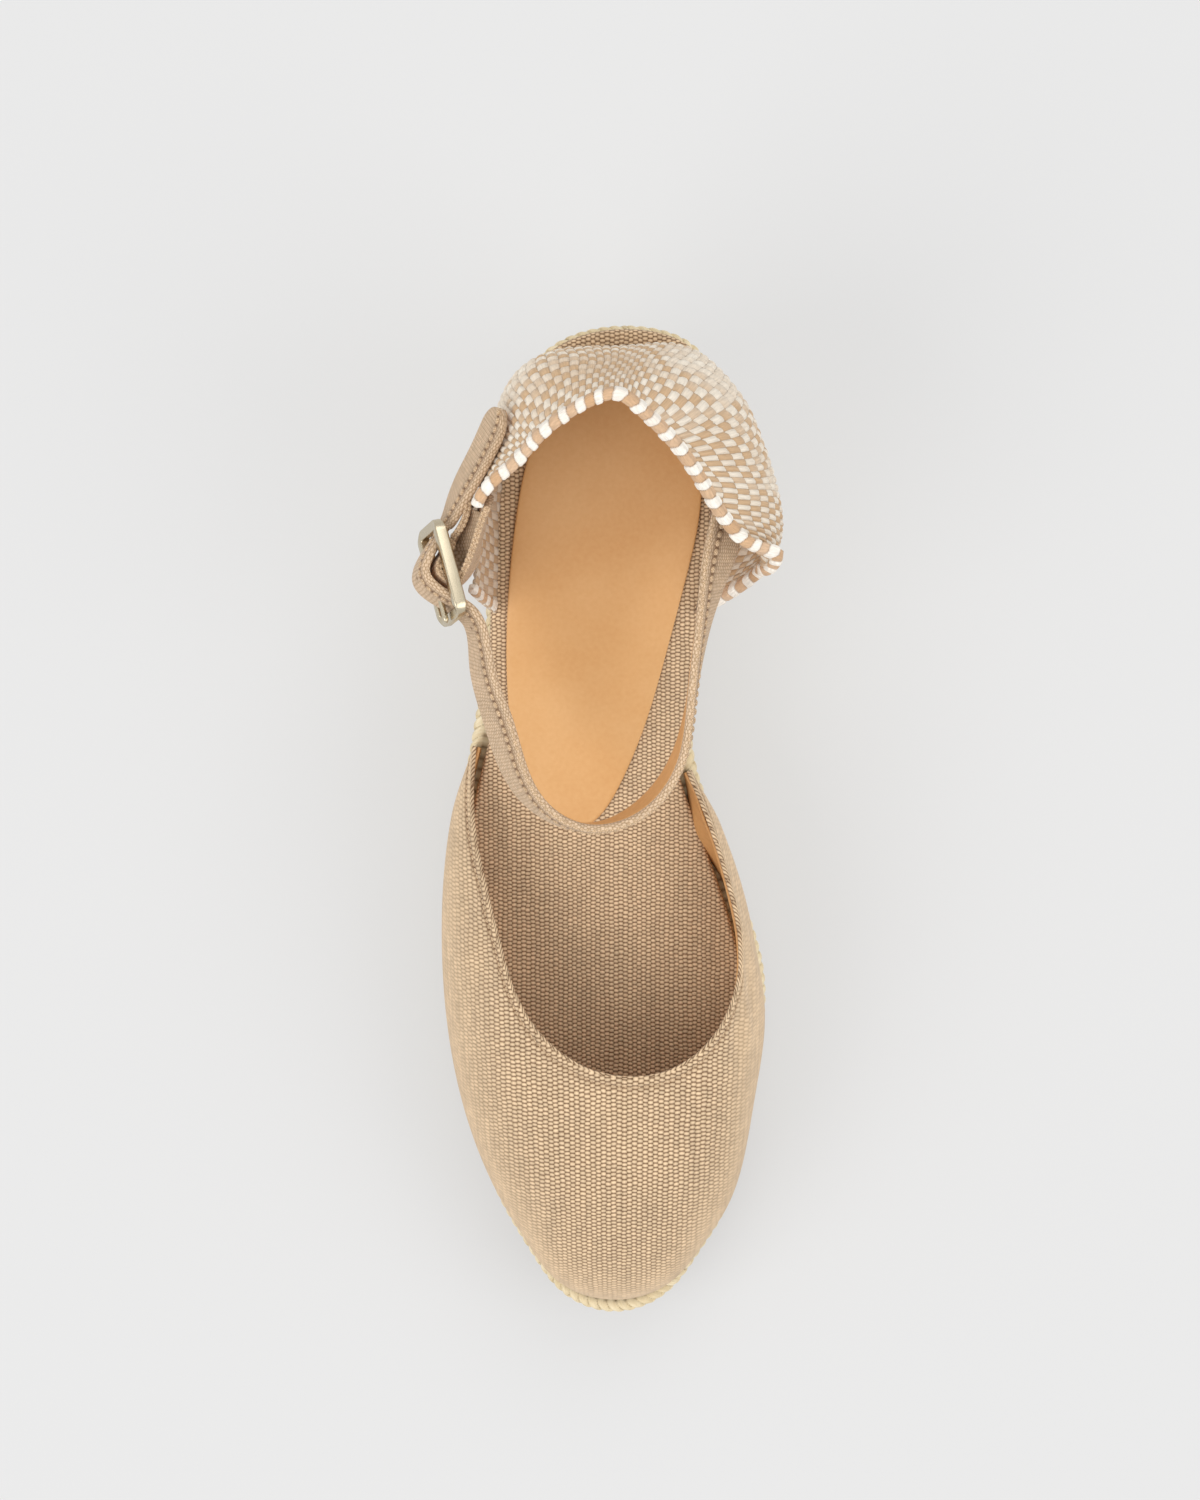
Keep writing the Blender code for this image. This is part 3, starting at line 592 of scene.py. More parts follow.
@dataclass(frozen=True)
class BasketWeave(Finish):
    """Plain weave of flat soft yarns, cotton one way and jute the other.

    Thread coordinates count cells, and warp lies on top where the cell's two numbers add up to even.
    A yarn's height is sqrt(1 - |a|^3) (1 - 0.55 b^2) across and along it from the middle of its cell. The
    eye sees cream and tan blocks in turn, in patches tan or cream alone, with painted shade in brown in the
    pits between them and where the mesh marks it.
    """

    white: str = "#eee4d4"
    tan: str = "#cfaf8b"
    # Brown of the pits and marked places: painted shade.
    hollow_shade: str = "#86674a"

    def sockets(self, make: Nodes) -> dict[str, Value]:
        """Cells with a chance of their own, and patches from the marks.

        Args:
            make: adds the nodes.

        Returns:
            Inputs of the shader.
        """
        cloth = make.cloth()
        u, w = make.split(cloth)
        column, row = make.math("FLOOR", u), make.math("FLOOR", w)
        weft = make.math("FLOORED_MODULO", make.math("ADD", column, row), 2.0)
        a, b = (make.line(make.math("PINGPONG", way, 0.5), -2.0, 1.0) for way in (u, w))
        across, along = make.blend(weft, a, b), make.blend(weft, b, a)
        rounded = make.math("SQRT", make.math("SUBTRACT", 1.0, make.math("POWER", across, 3.0)))
        height = make.math("MULTIPLY", rounded, make.line(make.math("POWER", along, 2.0), -0.55, 1.0))
        luck = make.luck(column, row)
        warp_white = make.spread(make.line(luck, 0.6, make.mark(Mark.TINT)), 0.3, 1.1, 1.0, 0.5)
        weft_white = make.spread(make.line(luck, 0.62, make.mark(Mark.PALE)), 0.4, 1.05, 0.0, 0.8)
        ply = make.noise(make.stretched(cloth, (5.3, 1.3, 1), 0.6), 1.0, 4.0)
        colour = make.mix(make.blend(weft, warp_white, weft_white), self.tan, self.white)
        colour = make.toned(colour, make.spread(ply, 0.3, 0.7, 0.82, 1.06))
        # Painted shade: brown where the yarns lie low and where the mesh marks shade.
        deep = make.math("MAXIMUM", make.spread(height, 0.42, 0.05, 0.0, 0.8), make.mark(Mark.PAINTED_SHADE))
        return {
            "Base Color": make.mix(deep, colour, self.hollow_shade),
            "Roughness": 0.9,
            "Normal": make.relief(0.7, 0.35, make.line(ply, 0.5, height)),
            "Sheen Weight": 0.12,
            "Specular IOR Level": 0.2,
        }


@dataclass(frozen=True)
class BasketYarn(Finish):
    """Soft cotton and jute yarns that whip the weave's edge: chalk white and tan, twisted, a little hairy."""

    white: str = "#f7f0e5"
    tan: str = "#cda47a"
    # Painted shade where the blocks meet.
    hollow_shade: str = "#8a6846"

    def sockets(self, make: Nodes) -> dict[str, Value]:
        """White or tan from the mark of each yarn, with twisted plies and painted shade where the blocks
        meet.

        Args:
            make: adds the nodes.

        Returns:
            Inputs of the shader.
        """
        cloth = make.cloth()
        ply = make.noise(make.stretched(cloth, (2.4, 0.6, 1), 0.6), 1.0, 4.0)
        colour = make.mix(make.mark(Mark.TINT), self.tan, self.white)
        colour = make.toned(colour, make.spread(ply, 0.3, 0.7, 0.8, 1.08))
        return {
            "Base Color": make.mix(make.mark(Mark.PAINTED_SHADE), colour, self.hollow_shade),
            "Roughness": 0.9,
            "Normal": make.relief(0.6, 0.25, make.math("ADD", ply, make.noise(cloth, 3.2, 3.0))),
            "Sheen Weight": 0.15,
            "Specular IOR Level": 0.2,
        }


@dataclass(frozen=True)
class Rubber(Finish):
    """Moulded tan rubber: matt, with small dark specks and a fine grit."""

    base: str = "#a98863"
    speck: str = "#8a6b4a"
    grit: float = 0.6

    def sockets(self, make: Nodes) -> dict[str, Value]:
        """Specks for the colour and grit for the relief.

        Args:
            make: adds the nodes.

        Returns:
            Inputs of the shader.
        """
        place = make.place()
        share = make.spread(make.cells(place, 420.0), 0.1, 0.45)
        grit = make.noise(place, 1 / (self.grit * MM), 3.0)
        return {
            "Base Color": make.mix(share, self.speck, self.base),
            "Roughness": 0.78,
            "Normal": make.relief(0.4, 0.15, grit),
        }


@dataclass(frozen=True)
class PaleGold(Finish):
    """Pale gold plating on cast zinc, satin: pale, with soft lights, faint hairlines and wear."""

    base: str = "#d0c4ab"
    worn: str = "#bfb298"
    hairline: float = 0.12

    def sockets(self, make: Nodes) -> dict[str, Value]:
        """Hairlines for the gloss and a faint change of tone.

        Args:
            make: adds the nodes.

        Returns:
            Inputs of the shader.
        """
        place = make.place()
        lines = make.noise(make.stretched(place, (1 / (self.hairline * MM), 260.0, 900.0)), 1.0, 3.0)
        return {
            "Base Color": make.mix(make.noise(place, 160.0, 2.0), self.worn, self.base),
            "Metallic": 1.0,
            "Roughness": make.spread(lines, 0.0, 1.0, 0.22, 0.3),
            "Normal": make.relief(0.03, 0.01, lines),
        }


@dataclass(frozen=True)
class Backdrop(Finish):
    """Matt pale grey studio paper: even and without a grain, with a glow that softens the shadow on it."""

    grey: str = "#949494"
    glow: float = 1.49

    def sockets(self, make: Nodes) -> dict[str, Value]:
        """Even grey, lit a little from within.

        Args:
            make: adds the nodes.

        Returns:
            Inputs of the shader.
        """
        return {
            "Base Color": linear(self.grey),
            "Roughness": 1.0,
            "Specular IOR Level": 0.0,
            "Emission Color": linear(self.grey),
            "Emission Strength": self.glow,
        }


CANVAS = Canvas("woven canvas")
INSOLE_CANVAS = Canvas("insole canvas", crest="#e8caa5", gap_shade="#755438", column=1.15, bead=1.06)
STRAP_CANVAS = Canvas("strap canvas", crest="#dac0a2", gap_shade="#a28362", column=0.85, bead=0.8, relief=0.14)
STITCH_CANVAS = Canvas("canvas thread", crest="#dcc1a0", gap_shade="#a98762", column=0.45, bead=0.6, relief=0.1)
SOCK_LEATHER = Leather("tan sock leather")
LINING_LEATHER = Leather("tan lining leather", light="#dba86f", dark="#c28d56", roughness=0.55)
JUTE = Jute("plaited jute")
WEAVE = BasketWeave("basket weave of cotton and jute")
YARN = BasketYarn("whipped cotton yarn")
RUBBER = Rubber("moulded tan rubber")
GOLD = PaleGold("pale gold plating")
PAPER = Backdrop("studio paper")


def add_piece(
    name: str,
    patches: Sequence[Patch],
    finish: Finish,
    nodes: Sequence[str] = (),
    corner: float | None = None,
) -> None:
    """Adds the object of a piece that rides on the shoe and stands for CAD nodes.

    Args:
        name: name of the piece.
        patches: grids of its surface.
        finish: its material.
        nodes: CAD nodes that it stands for.
        corner: angle in degrees over which an edge stays sharp.
    """
    mesh = mesh_of(name, patches, corner)
    mesh.materials.append(finish.material())
    piece = bpy.data.objects.new(name, mesh)
    bpy.context.scene.collection.objects.link(piece)
    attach(piece, BODY)
    if nodes:
        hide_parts(*nodes)
    LOG.info("%s: %d faces in %s", name, len(mesh.polygons), finish.name)


def place(along: Array, across: Array, height: Array) -> Array:
    """Points in the shoe's frame from the distance to the heel's back, the side and the height."""
    return np.stack(np.broadcast_arrays(across, SoleLine.length / 2 - along, height), -1).astype(float)


def place_out(out: Array) -> Array:
    """Directions in (along, across) as directions in the shoe's frame."""
    return np.stack([out[:, 1], -out[:, 0], np.zeros(len(out))], 1)


@dataclass(frozen=True)
class SoleLine:
    """Plan and profile of the sole, which every other piece stands on."""

    length: float = 242.8
    ball_width: float = 81.2
    heel_height: float = 80.0
    ball_height: float = 25.0
    toe_spring: float = 8.0
    flat_tread: float = 172.0
    crowding: float = 0.95
    tip: int = 13
    plan: tuple = (
        (0.000, 0.074), (0.021, 0.285), (0.115, 0.372), (0.256, 0.342), (0.340, 0.288), (0.400, 0.277),
        (0.487, 0.352), (0.595, 0.465), (0.690, 0.512), (0.789, 0.474), (0.900, 0.388), (0.938, 0.315),
        (0.972, 0.237), (1.000, 0.050), (0.974, -0.140), (0.938, -0.221), (0.900, -0.291), (0.795, -0.419),
        (0.628, -0.484), (0.487, -0.446), (0.380, -0.370), (0.256, -0.337), (0.116, -0.305), (0.023, -0.155),
    )
    profile: tuple = (
        (0.00, 1.000), (0.11, 0.940), (0.22, 0.820), (0.32, 0.640), (0.42, 0.415), (0.53, 0.215),
        (0.63, 0.090), (0.74, 0.018), (0.84, 0.000), (0.94, 0.030), (1.00, 0.070),
    )
    feather_outer: float = 1.0
    feather_inner: float = 2.0
    feather_toe: float = 3.0

    def footbed(self, along: Array) -> Array:
        """Height of the footbed: a spline through the profile's marks.

        Args:
            along: mm from the heel's back.

        Returns:
            Heights in mm.
        """
        line = np.array(self.profile)
        rise = spline(line[:, 0] * self.length, line[:, 1], along)[..., 0]
        return self.ball_height + (self.heel_height - self.ball_height) * rise

    def floor(self, along: Array) -> Array:
        """Height of the tread: flat, then a parabola up to the toe spring."""
        beyond = np.clip((along - self.flat_tread) / (self.length - self.flat_tread), 0, None)
        return self.toe_spring * beyond**2

    def loop(self, marks: Sequence, tip: int, steps: int) -> Array:
        """Closed spline through marks, with both sides read at the same distances from the heel.

        The distances are closer together towards the ends, as (1 - cos) of an even share is.

        Args:
            marks: (along, across) in mm, from the heel's back along the inner side and back.
            tip: number of the mark at the front.
            steps: points on each side.

        Returns:
            Ring of (along, across), the first point not repeated.
        """
        points = looped(np.array(marks, float))
        knots = run_length(points)
        fine = 40 * steps
        first = spline(knots, points, np.linspace(0, knots[tip], fine), closed=True)
        second = spline(knots, points, np.linspace(knots[-1], knots[tip], fine), closed=True)
        share = np.linspace(0, 1, steps + 1)
        share = self.crowding * (1 - np.cos(math.pi * share)) / 2 + (1 - self.crowding) * share
        along = points[0, 0] + (first[-1, 0] - points[0, 0]) * share
        inner, outer = (
            np.stack([along, np.interp(along, np.maximum.accumulate(side[:, 0]), side[:, 1])], 1)
            for side in (first, second)
        )
        return np.concatenate([inner, outer[-2:0:-1]])

    def edge(self, steps: int) -> Array:
        """Edge of the sole as a ring of (along, across)."""
        return self.loop(np.array(self.plan) * (self.length, self.ball_width), self.tip, steps)

    def even_edge(self, count: int) -> Array:
        """Edge of the sole at equal steps of its length."""
        ring = looped(self.edge(400))
        return read_along(ring, np.linspace(0, run_length(ring)[-1], count, endpoint=False))

    @staticmethod
    def normals(edge: Array) -> Array:
        """Outward normals of a ring, in (along, across)."""
        run = unit(np.roll(edge, -1, axis=0) - np.roll(edge, 1, axis=0))
        return np.stack([-run[:, 1], run[:, 0]], 1)

    @staticmethod
    def ring(edge: Array, normals: Array, inset: Array, height: Array) -> Array:
        """Points of rings: edge - normal times inset, at a height, for each place of the edge.

        Args:
            edge: (along, across) of the sole's edge.
            normals: its outward normals.
            inset: places by rings.
            height: places by rings.

        Returns:
            Grid of places by rings.
        """
        along = edge[:, :1] - normals[:, :1] * inset
        across = edge[:, 1:] - normals[:, 1:] * inset
        return place(along, across, height)

    def feather_inset(self, normals: Array) -> Array:
        """How far in from the sole's edge the upper stands, from the way the edge faces."""
        side = np.where(normals[:, 1] < 0, self.feather_outer, self.feather_inner)
        return side * normals[:, 1] ** 2 + self.feather_toe * normals[:, 0] ** 2


LINE = SoleLine()


def plait(run: Array, across: Array, row: Array, pitch: float) -> tuple[Array, ...]:
    """Flat plait of jute: strands slant from both edges and meet in chevrons at the middle.

    The place in a strand is t = run / pitch - 0.6 |across|, with half a strand more on the upper side and
    0.37 more for each row, taken to its fraction. The height is sqrt(1 - across^4) times
    0.25 + 0.75 sqrt(1 - (2 t - 1)^2), so each strand is round and the row too.

    Args:
        run: mm along the row.
        across: -1 to 1 over the row.
        row: number of the row.
        pitch: mm from one strand to the next.

    Returns:
        Height from 0 to 1, tone of each strand, and thread coordinates along the strands.
    """
    side = np.sign(across)
    phase = run / pitch - 0.6 * np.abs(across) + 0.5 * (side > 0) + 0.37 * row
    t = phase % 1.0
    strand = np.sqrt(np.clip(1 - (2 * t - 1) ** 2, 0, 1))
    body = np.sqrt(np.clip(1 - across**4, 0, 1))
    tone = chance(np.floor(phase), row, side)
    cloth = np.stack([phase * pitch, across * pitch], -1)
    return body * (0.25 + 0.75 * strand), tone, cloth


@dataclass
class Sole:
    """Rubber outsole, jute-wound wedge and the plaited platform round the foot."""

    line: SoleLine = LINE
    outsole: float = 4.0
    outsole_in: float = 0.6
    outsole_steps: tuple = ((0.8, 0.0), (0.25, 0.22), (0.0, 0.8), (0.0, 3.2), (0.3, 3.8), (0.8, 4.0))
    platform: float = 9.0
    row_height: float = 8.2
    row_groove: float = 1.1
    row_shade: float = 0.85
    row_hollow: tuple = (-0.62, -0.1)
    edge_flat: float = 0.6
    proud: float = 0.35
    side_taper: float = 1.5
    heel_rake: float = 8.0
    strand: float = 4.6
    braid_strand: float = 2.8
    braid_split: float = -0.25
    braid_reach: float = 1.05
    braid_fold: float = 0.93
    braid_groove: float = 1.0
    braid_proud: float = 0.45
    braid_ends: tuple = (1.2, 1.35)
    braid_dip: float = 0.9
    braid_shade: tuple = (0.1, 0.8)
    braid_hollow: tuple = (-0.65, -0.2)
    bow: float = 2.6
    bow_power: float = 0.75
    flat: tuple = (4.2, 6.5)
    tuck_outer: float = 1.0
    tuck_inner: float = 1.1
    tuck_from: tuple = (92.0, 112.0)
    tread_depth: float = 0.7
    tread_pitch: float = 4.0
    tread_wave: tuple = (2.2, 4.5)
    tread_step: tuple = (-0.2, 0.5)
    tread_points: int = 64
    tread_sides: tuple = (0.84, 0.93)
    tread_ends: tuple = (3, 14)

    def rake(self, normals: Array, height: Array) -> Array:
        """How far the wedge's wall lies in at a height: raked at the heel's back, tapered at the sides.

        Args:
            normals: outward normals of the sole's edge.
            height: mm above the floor, places by rings.

        Returns:
            Insets in mm, places by rings.
        """
        backwards = np.clip(-normals[:, :1], 0, 1) ** 2
        reach = self.side_taper + (self.heel_rake - self.side_taper) * backwards
        return reach * (1 - height / self.line.heel_height)

    def build_outsole(self) -> None:
        """Outsole with rounded edges and a tread of fine waves, cut up into its underside.

        The cut's depth is a smooth step of sin(2 pi (y + sway sin(x / reach)) / pitch), none near the edge.
        """
        edge = self.line.edge(170)
        normals = self.line.normals(edge)
        base = self.rake(normals, np.zeros((len(edge), 1))) + self.outsole_in
        steps = np.array(self.outsole_steps)
        inset = base + steps[:, 0]
        floor = self.line.floor(edge[:, :1] - normals[:, :1] * inset)
        grid = self.line.ring(edge, normals, inset, floor + steps[:, 1])
        tread = closing(grid[:, 0], self.tread_points)
        x, y = tread.points[..., 0], tread.points[..., 1]
        sway, reach = self.tread_wave
        wave = np.sin(2 * math.pi * (y + sway * np.sin(x / reach)) / self.tread_pitch)
        inside = 1 - ease(np.abs(np.linspace(-1, 1, self.tread_points)), *self.tread_sides)
        line = np.arange(len(x))
        ends = ease(np.minimum(line, len(x) - 1 - line), *self.tread_ends)
        tread.points[..., 2] += self.tread_depth * ease(wave, *self.tread_step) * inside * ends[:, None]
        patches = [Patch(looped(grid)), tread, closing(grid[:, -1])]
        add_piece("outsole_tread", patches, RUBBER, ["outsole"], corner=60)

    def build_wedge(self) -> None:
        """Wedge wound with level rows of flat plait, cut off by the platform above them.

        The wall's height is low + (high - low) q, and its rows are level: row = (height - base) / pitch.
        """
        edge = self.line.even_edge(1050)
        normals = self.line.normals(edge)
        under = BOARD + self.platform + 2 * GAP
        low = self.line.floor(edge[:, :1]) + self.outsole + GAP
        high = self.line.footbed(edge[:, :1]) - under
        high = self.line.footbed(edge[:, :1] - normals[:, :1] * self.rake(normals, high)) - under
        height = low + (high - low) * np.linspace(0, 1, 90)
        rows = (height - self.outsole - GAP) / self.row_height
        run = run_length(looped(edge))[:-1, None] + 0 * height
        lift, tone, cloth = plait(run, 2 * (rows % 1.0) - 1, np.floor(rows), self.strand)
        out = -self.row_groove + (self.row_groove + self.proud) * lift
        from_edge = np.minimum(height - low, high - height)
        out = np.where(from_edge < self.edge_flat, np.minimum(out, 0), out)
        grid = self.line.ring(edge, normals, self.rake(normals, height) - out, height)
        # Painted shade in the grooves between rows of plait.
        hollow_shade = self.row_shade * ease(-lift, *self.row_hollow)
        wall = Patch(looped(grid), looped(cloth), {Mark.TINT: looped(tone), Mark.PAINTED_SHADE: looped(hollow_shade)})
        patches = [wall, closing(grid[:, 0]), closing(grid[:, -1])]
        add_piece("wedge_jute", patches, JUTE, ["wedge"], corner=70)

    def build_platform(self) -> None:
        """Plaited jute layer that follows the foot: two plaits over a rounded band and its top edge.

        The section is a half superellipse: inset = bow (1 - cos^0.75) where its height is sin^0.75. It is
        tucked in under the vamp, by less towards the toe and where the braid shows beside the vamp.
        """
        edge = self.line.even_edge(1500)
        normals = self.line.normals(edge)
        angle = np.linspace(-math.pi / 2, math.pi / 2, 31)
        inset = self.bow * (1 - np.abs(np.cos(angle)) ** self.bow_power)
        inset = np.concatenate([self.flat[::-1], inset, self.flat])
        share = np.concatenate([[-1, -1], squared(np.sin(angle), self.bow_power), [1, 1]])
        run = run_length(looped(edge))[:-1, None]
        ends = np.array(self.braid_ends)
        across = np.concatenate([-ends[::-1], angle / (math.pi / 2) * self.braid_reach, ends])
        upper = across > self.braid_split
        middle = (self.braid_split + np.where(upper, self.braid_reach, -self.braid_reach)) / 2
        local = (across - middle) / np.abs(middle - self.braid_split)
        local = np.clip(local, -self.braid_fold, self.braid_fold)
        lift, tone, cloth = plait(run + 0 * across, local + 0 * run, upper + 0 * run, self.braid_strand)
        out = -self.braid_groove + (self.braid_groove + self.braid_proud) * lift
        tucked = np.where(normals[:, 1] < 0, self.tuck_outer, self.tuck_inner) * (1 - normals[:, 0] ** 2) ** 2
        shown = hill(edge[:, 0], *BRAID_SHOWN) * (normals[:, 1] > 0)
        tucked = tucked * ease(edge[:, 0], *self.tuck_from) * (1 - shown)
        inset = inset[None, :] - out * (np.abs(share) < 0.999) + tucked[:, None]
        along = edge[:, :1] - normals[:, :1] * inset
        height = self.line.footbed(along) - BOARD - GAP + self.platform * (share - 1) / 2
        top = (share > 0.5) & (np.arange(len(share)) < len(share) - len(self.flat))
        height -= np.where(top, self.braid_dip * (1 - lift), 0)
        grid = self.line.ring(edge, normals, inset, height)
        # Painted shade: the whole braid a little darker, and more in the grooves.
        even, deep = self.braid_shade
        hollow_shade = even + deep * ease(-lift, *self.braid_hollow)
        wall = Patch(looped(grid), looped(cloth), {Mark.TINT: looped(tone), Mark.PAINTED_SHADE: looped(hollow_shade)})
        patches = [wall, closing(grid[:, 0]), closing(grid[:, -1])]
        add_piece("platform_braid", patches, JUTE, ["platform"], corner=70)

    def build(self) -> None:
        """All pieces of the sole."""
        self.build_outsole()
        self.build_wedge()
        self.build_platform()


@dataclass
class Insole:
    """Canvas-covered footbed and the leather sock at the heel."""

    line: SoleLine = LINE
    sock: float = 1.0
    margin: float = 0.9
    vamp_wall: float = 2.0
    outer_corner: float = 101.5
    inner_corner: float = 107.5
    corner_blend: tuple = (-14.0, -3.0)
    top_points: int = 24
    fold: tuple = (
        (0.8, -4.0), (0.15, -3.5), (0.0, -2.9), (0.0, -1.5), (0.12, -0.8), (0.45, -0.3), (1.0, -0.04),
        (1.6, 0.0),
    )
    sock_tip: int = 6
    sock_plan: tuple = (
        (10.5, 4.0), (18.0, 18.5), (40.0, 24.6), (62.0, 20.6), (84.0, 14.8), (108.0, 6.4), (121.5, -5.0),
        (113.0, -16.0), (92.0, -22.4), (66.0, -22.4), (44.0, -20.0), (20.0, -11.5),
    )

    def threads(self, points: Array) -> Array:
        """Thread coordinates on the footbed: mm across, and mm along its curved profile.

        Args:
            points: grid of points.

        Returns:
            Grid of thread coordinates.
        """
        along = np.linspace(-5, self.line.length + 5, 400)
        run = run_length(np.stack([along, self.line.footbed(along)], 1))
        return np.stack([points[..., 0], np.interp(self.line.length / 2 - points[..., 1], along, run)], -1)

    def slab(self, edge: Array, steps: Array, across: int) -> list[Patch]:
        """Layer on the footbed's profile: rings with an inset and a height, closed above and below.

        Args:
            edge: ring of (along, across).
            steps: inset (places by rings) and height above the footbed for each ring.
            across: points on each line over the top.

        Returns:
            Patches of the layer.
        """
        inset, rise = steps
        normals = self.line.normals(edge)
        along = edge[:, :1] - normals[:, :1] * inset
        grid = self.line.ring(edge, normals, inset, self.line.footbed(along) + rise)
        patches = [Patch(looped(grid)), closing(grid[:, -1], across), closing(grid[:, 0])]
        for patch in patches:
            patch.cloth = self.threads(patch.points)
        turn = run_length(grid, axis=1)
        over = (turn[:, -1:] - turn)[..., None] * normals[:, None, ::-1]
        patches[0].cloth = looped(self.threads(grid[:, -1:]) + over)
        return patches

    def build_footbed(self) -> None:
        """Footbed with its canvas folded over a round edge, inside the vamp's wall from its corners on."""
        edge = self.line.edge(170)
        normals = self.line.normals(edge)
        corner = np.where(edge[:, 1] < 0, self.outer_corner, self.inner_corner)
        inside = self.line.feather_inset(normals) + self.vamp_wall + 4 * GAP
        base = self.margin + (inside - self.margin) * ease(edge[:, 0] - corner, *self.corner_blend)
        steps = np.array(self.fold)
        patches = self.slab(edge, (base[:, None] + steps[:, 0], steps[:, 1]), self.top_points)
        add_piece("footbed_canvas", patches, INSOLE_CANVAS, ["footbed"])

    def build_sock(self) -> None:
        """Leather sock, a teardrop with a thin rolled edge."""
        edge = self.line.loop(self.sock_plan, self.sock_tip, 90)
        steps = np.array([(0.1, GAP), (0.0, 0.55), (0.0, 0.95), (0.16, 1.18), (0.5, GAP + self.sock)])
        patches = self.slab(edge, (steps[:, 0] + 0 * edge[:, :1], steps[:, 1]), self.top_points)
        add_piece("heel_sock", patches, SOCK_LEATHER, ["sock"])

    def build(self) -> None:
        """Footbed and sock."""
        self.build_footbed()
        self.build_sock()


def stitch_row(
    path: Array, normals: Array, pitch: float, half: tuple[float, float, float], offset: float = 0.5
) -> list[Patch]:
    """Beads of thread along a path: ellipsoids with half sizes along, across and out of the cloth.

    A bead's points are centre + along h0 sin(p) + beside h1 cos(p) cos(q) + out h2 cos(p) sin(q), with
    half sizes h, p from pole to pole and q round the bead.

    Args:
        path: points on the cloth.
        normals: the cloth's outward normals there.
        pitch: mm from one bead to the next.
        half: half sizes in mm along the row, across it and outwards.
        offset: share of a pitch before the first bead.

    Returns:
        One closed patch for each bead.
    """
    near, stretch, shift = 0.3, 1.5, 3.7
    run = run_length(path)
    places = np.arange(offset * pitch, run[-1], pitch)
    centre = read_along(path, places)
    along = unit(read_along(path, np.minimum(places + near, run[-1])) - read_along(path, places - near))
    out = unit(read_rows(places, run, normals))
    beside = unit(np.cross(out, along))
    out = np.cross(along, beside)
    turn = np.linspace(0, 2 * math.pi, 9)
    tilt = np.linspace(-math.pi / 2, math.pi / 2, 6)
    ring = np.cos(tilt)[:, None]
    lengthwise = half[0] * np.sin(tilt)[:, None] + 0 * turn
    sideways = half[1] * ring * np.cos(turn)
    outwards = half[2] * ring * np.sin(turn)
    shapes = (
        centre[:, None, None]
        + along[:, None, None] * lengthwise[..., None]
        + beside[:, None, None] * sideways[..., None]
        + out[:, None, None] * outwards[..., None]
    )
    cloth = np.stack([sideways * stretch, lengthwise], -1)
    return [Patch(shape, cloth + shift * k) for k, shape in enumerate(shapes)]


